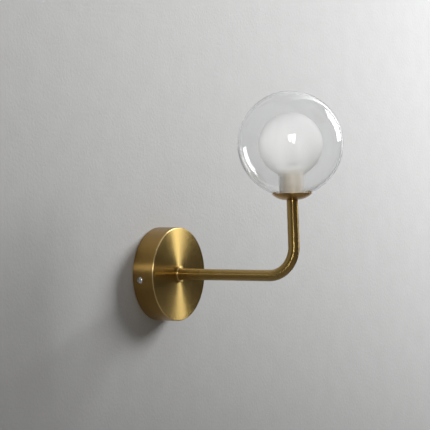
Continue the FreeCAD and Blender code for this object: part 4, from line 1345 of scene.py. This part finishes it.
@dataclass(frozen=True)
class Softbox:
    """A rectangular lamp, sizes in metres and brightness as radiance."""

    name: str
    centre: Triple
    aim: Triple
    width: float
    height: float
    radiance: float
    only: Optional[Group] = None
    mirrored: bool = True
    through_glass: bool = False

    def build(self) -> None:
        """Hang the lamp, unseen by the camera, and keep it to its group of pieces."""
        data = bpy.data.lights.new(self.name, "AREA")
        data.shape = "RECTANGLE"
        data.size, data.size_y = self.width, self.height
        data.energy = math.pi * self.radiance * self.width * self.height
        lamp = Maker.link(self.name, data)
        away = Vector(self.aim) - Vector(self.centre)
        turn = away.to_track_quat("-Z", "Y").to_matrix().to_4x4()
        lamp.matrix_world = Matrix.Translation(self.centre) @ turn
        lamp.visible_camera = False
        lamp.visible_glossy = self.mirrored
        lamp.visible_transmission = self.through_glass
        if self.only:
            lamp.light_linking.receiver_collection = self.only.collection()


class Lamps:
    """Daylight and a window at the right, small lamps by the camera and one behind the wall.

    The wall has its own daylight, and a weak lamp that fills the shadow on it.
    """

    SKY = (1.96, -1.17, 1.27)
    GLOBE = (0.0, 0.0, 0.1)
    ALL = (
        Softbox("daylight", SKY, ORIGIN, 1.1, 1.0, 9.0, Group.PIECES, mirrored=False),
        Softbox("wall_light", SKY, ORIGIN, 1.1, 1.0, 21.5, Group.STAGE, mirrored=False),
        Softbox("window", (1.75, -0.63, 0.75), (0.0, -0.63, 0.75), 0.58, 1.0, 6.5, Group.GLASS,
                through_glass=True),
        Softbox("sheen", (1.39, -0.90, 1.12), ORIGIN, 0.52, 2.1, 5.7, Group.SOLID),
        Softbox("front_bar", (-1.69, -1.33, 0.62), GLOBE, 0.56, 0.40, 14.0, Group.GLASS),
        Softbox("front_right", (-1.61, -1.45, 0.43), GLOBE, 0.22, 0.70, 14.0, Group.GLASS),
        Softbox("front_left", (-1.78, -1.19, 0.46), GLOBE, 0.18, 0.42, 14.0, Group.GLASS),
        Softbox("glint", (-1.69, -1.33, 0.52), ORIGIN, 0.56, 0.42, 14.0, Group.SOLID),
        Softbox("fill", (-1.95, -1.30, 0.1), GLOBE, 0.5, 3.0, 0.7, Group.SOLID),
        Softbox("wall_fill", (-0.9, -2.6, 0.3), ORIGIN, 2.6, 2.6, 0.24, Group.STAGE, mirrored=False),
        Softbox("behind", (0.0, 1.8, 0.9), ORIGIN, 1.6, 1.6, 2.4),
    )


@dataclass
class Studio:
    """Wall, lamps, world and camera."""

    wall_gap: float = 0.5
    wall_hole: float = 48.6
    wall_radius: float = 3000.0
    wall_steps: int = 128
    room: tuple = ((0.0, (0.27, 0.25, 0.22)), (0.5, (0.032, 0.023, 0.017)),
                   (0.8, (0.11, 0.10, 0.09)), (1.0, (0.80, 0.80, 0.81)))
    background: Triple = (0.62, 0.62, 0.62)
    mirrored_share: float = 0.05
    camera_azimuth: float = -57.13
    camera_pitch: float = 0.09
    camera_place: Triple = (-2.30831, -1.56248, 0.06748)
    focal_pixels: float = 2600.0
    frame_pixels: float = 430.0
    sensor: float = 36.0

    def build(self) -> None:
        """Set up everything round the sconce."""
        self._wall()
        for lamp in Lamps.ALL:
            lamp.build()
        self._world()
        self._camera()
        bpy.context.scene.view_settings.view_transform = "Standard"

    def _wall(self) -> None:
        """A round stretch of wall, open behind the canopy."""
        wall = Maker.blank("wall")
        steps = self.wall_steps
        with Maker.editing(wall.data) as build:
            hole, rim = ([build.verts.new(Vector((r * math.cos(a), self.wall_gap, r * math.sin(a))) * MM)
                          for a in (2 * math.pi * k / steps for k in range(steps))]
                         for r in (self.wall_hole, self.wall_radius))
            for k in range(steps):
                after = (k + 1) % steps
                build.faces.new((hole[k], rim[k], rim[after], hole[after]))
            bmesh.ops.recalc_face_normals(build, faces=build.faces)
            build.faces.ensure_lookup_table()
            if build.faces[0].normal.y > 0:
                bmesh.ops.reverse_faces(build, faces=build.faces)
        wall.data.materials.append(WallPaint("wall_paint", "wall").material())
        Group.STAGE.collection().objects.link(wall)

    def _world(self) -> None:
        """A dim room that the camera and rays through glass see as a pale background, and metal in part.

        The brass keeps the dark side of the room in its shadows, so mirrored rays take a small share of the
        pale background.
        """
        world = bpy.data.worlds.new("room")
        bpy.context.scene.world = world
        world.use_nodes = True
        graph = Graph(world.node_tree)
        look = graph.value("ShaderNodeTexCoord", output="Generated")
        up = graph.measure("DOT_PRODUCT", look, UP) * 0.5 + 0.5
        seen = graph.ray("Camera").at_least(graph.ray("Transmission"))
        seen = seen.at_least(graph.ray("Glossy") * self.mirrored_share)
        dim = graph.value("ShaderNodeBackground", {"Color": graph.ramp(up, self.room), "Strength": 1.0})
        pale = graph.value("ShaderNodeBackground", {"Color": (*self.background, 1.0), "Strength": 1.0})
        graph.add("ShaderNodeOutputWorld", {"Surface": graph.mix(seen, dim, pale)})

    def _camera(self) -> None:
        """The photograph's viewpoint."""
        data = bpy.data.cameras.new("camera")
        data.sensor_width = self.sensor
        data.lens = self.sensor * self.focal_pixels / self.frame_pixels
        data.clip_start, data.clip_end = 0.05, 50.0
        turn, tip = math.radians(self.camera_azimuth), math.radians(self.camera_pitch)
        back = Vector((math.sin(turn) * math.cos(tip), -math.cos(turn) * math.cos(tip), math.sin(tip)))
        right = Vector((math.cos(turn), math.sin(turn), 0.0))
        axes = Matrix((right, back.cross(right), back)).transposed().to_4x4()
        camera = Maker.link("camera", data)
        camera.matrix_world = Matrix.Translation(self.camera_place) @ axes
        bpy.context.scene.camera = camera


def main() -> None:
    """Build the sconce and its studio in order."""
    logging.basicConfig(level=logging.INFO, format="%(name)s: %(message)s")
    Canopy().build()
    Arm().build()
    CupAndHolder().build()
    GlassShade().build()
    CapsuleBulb().build()
    Wiring().build()
    Studio().build()


if __name__ == "__main__":
    main()
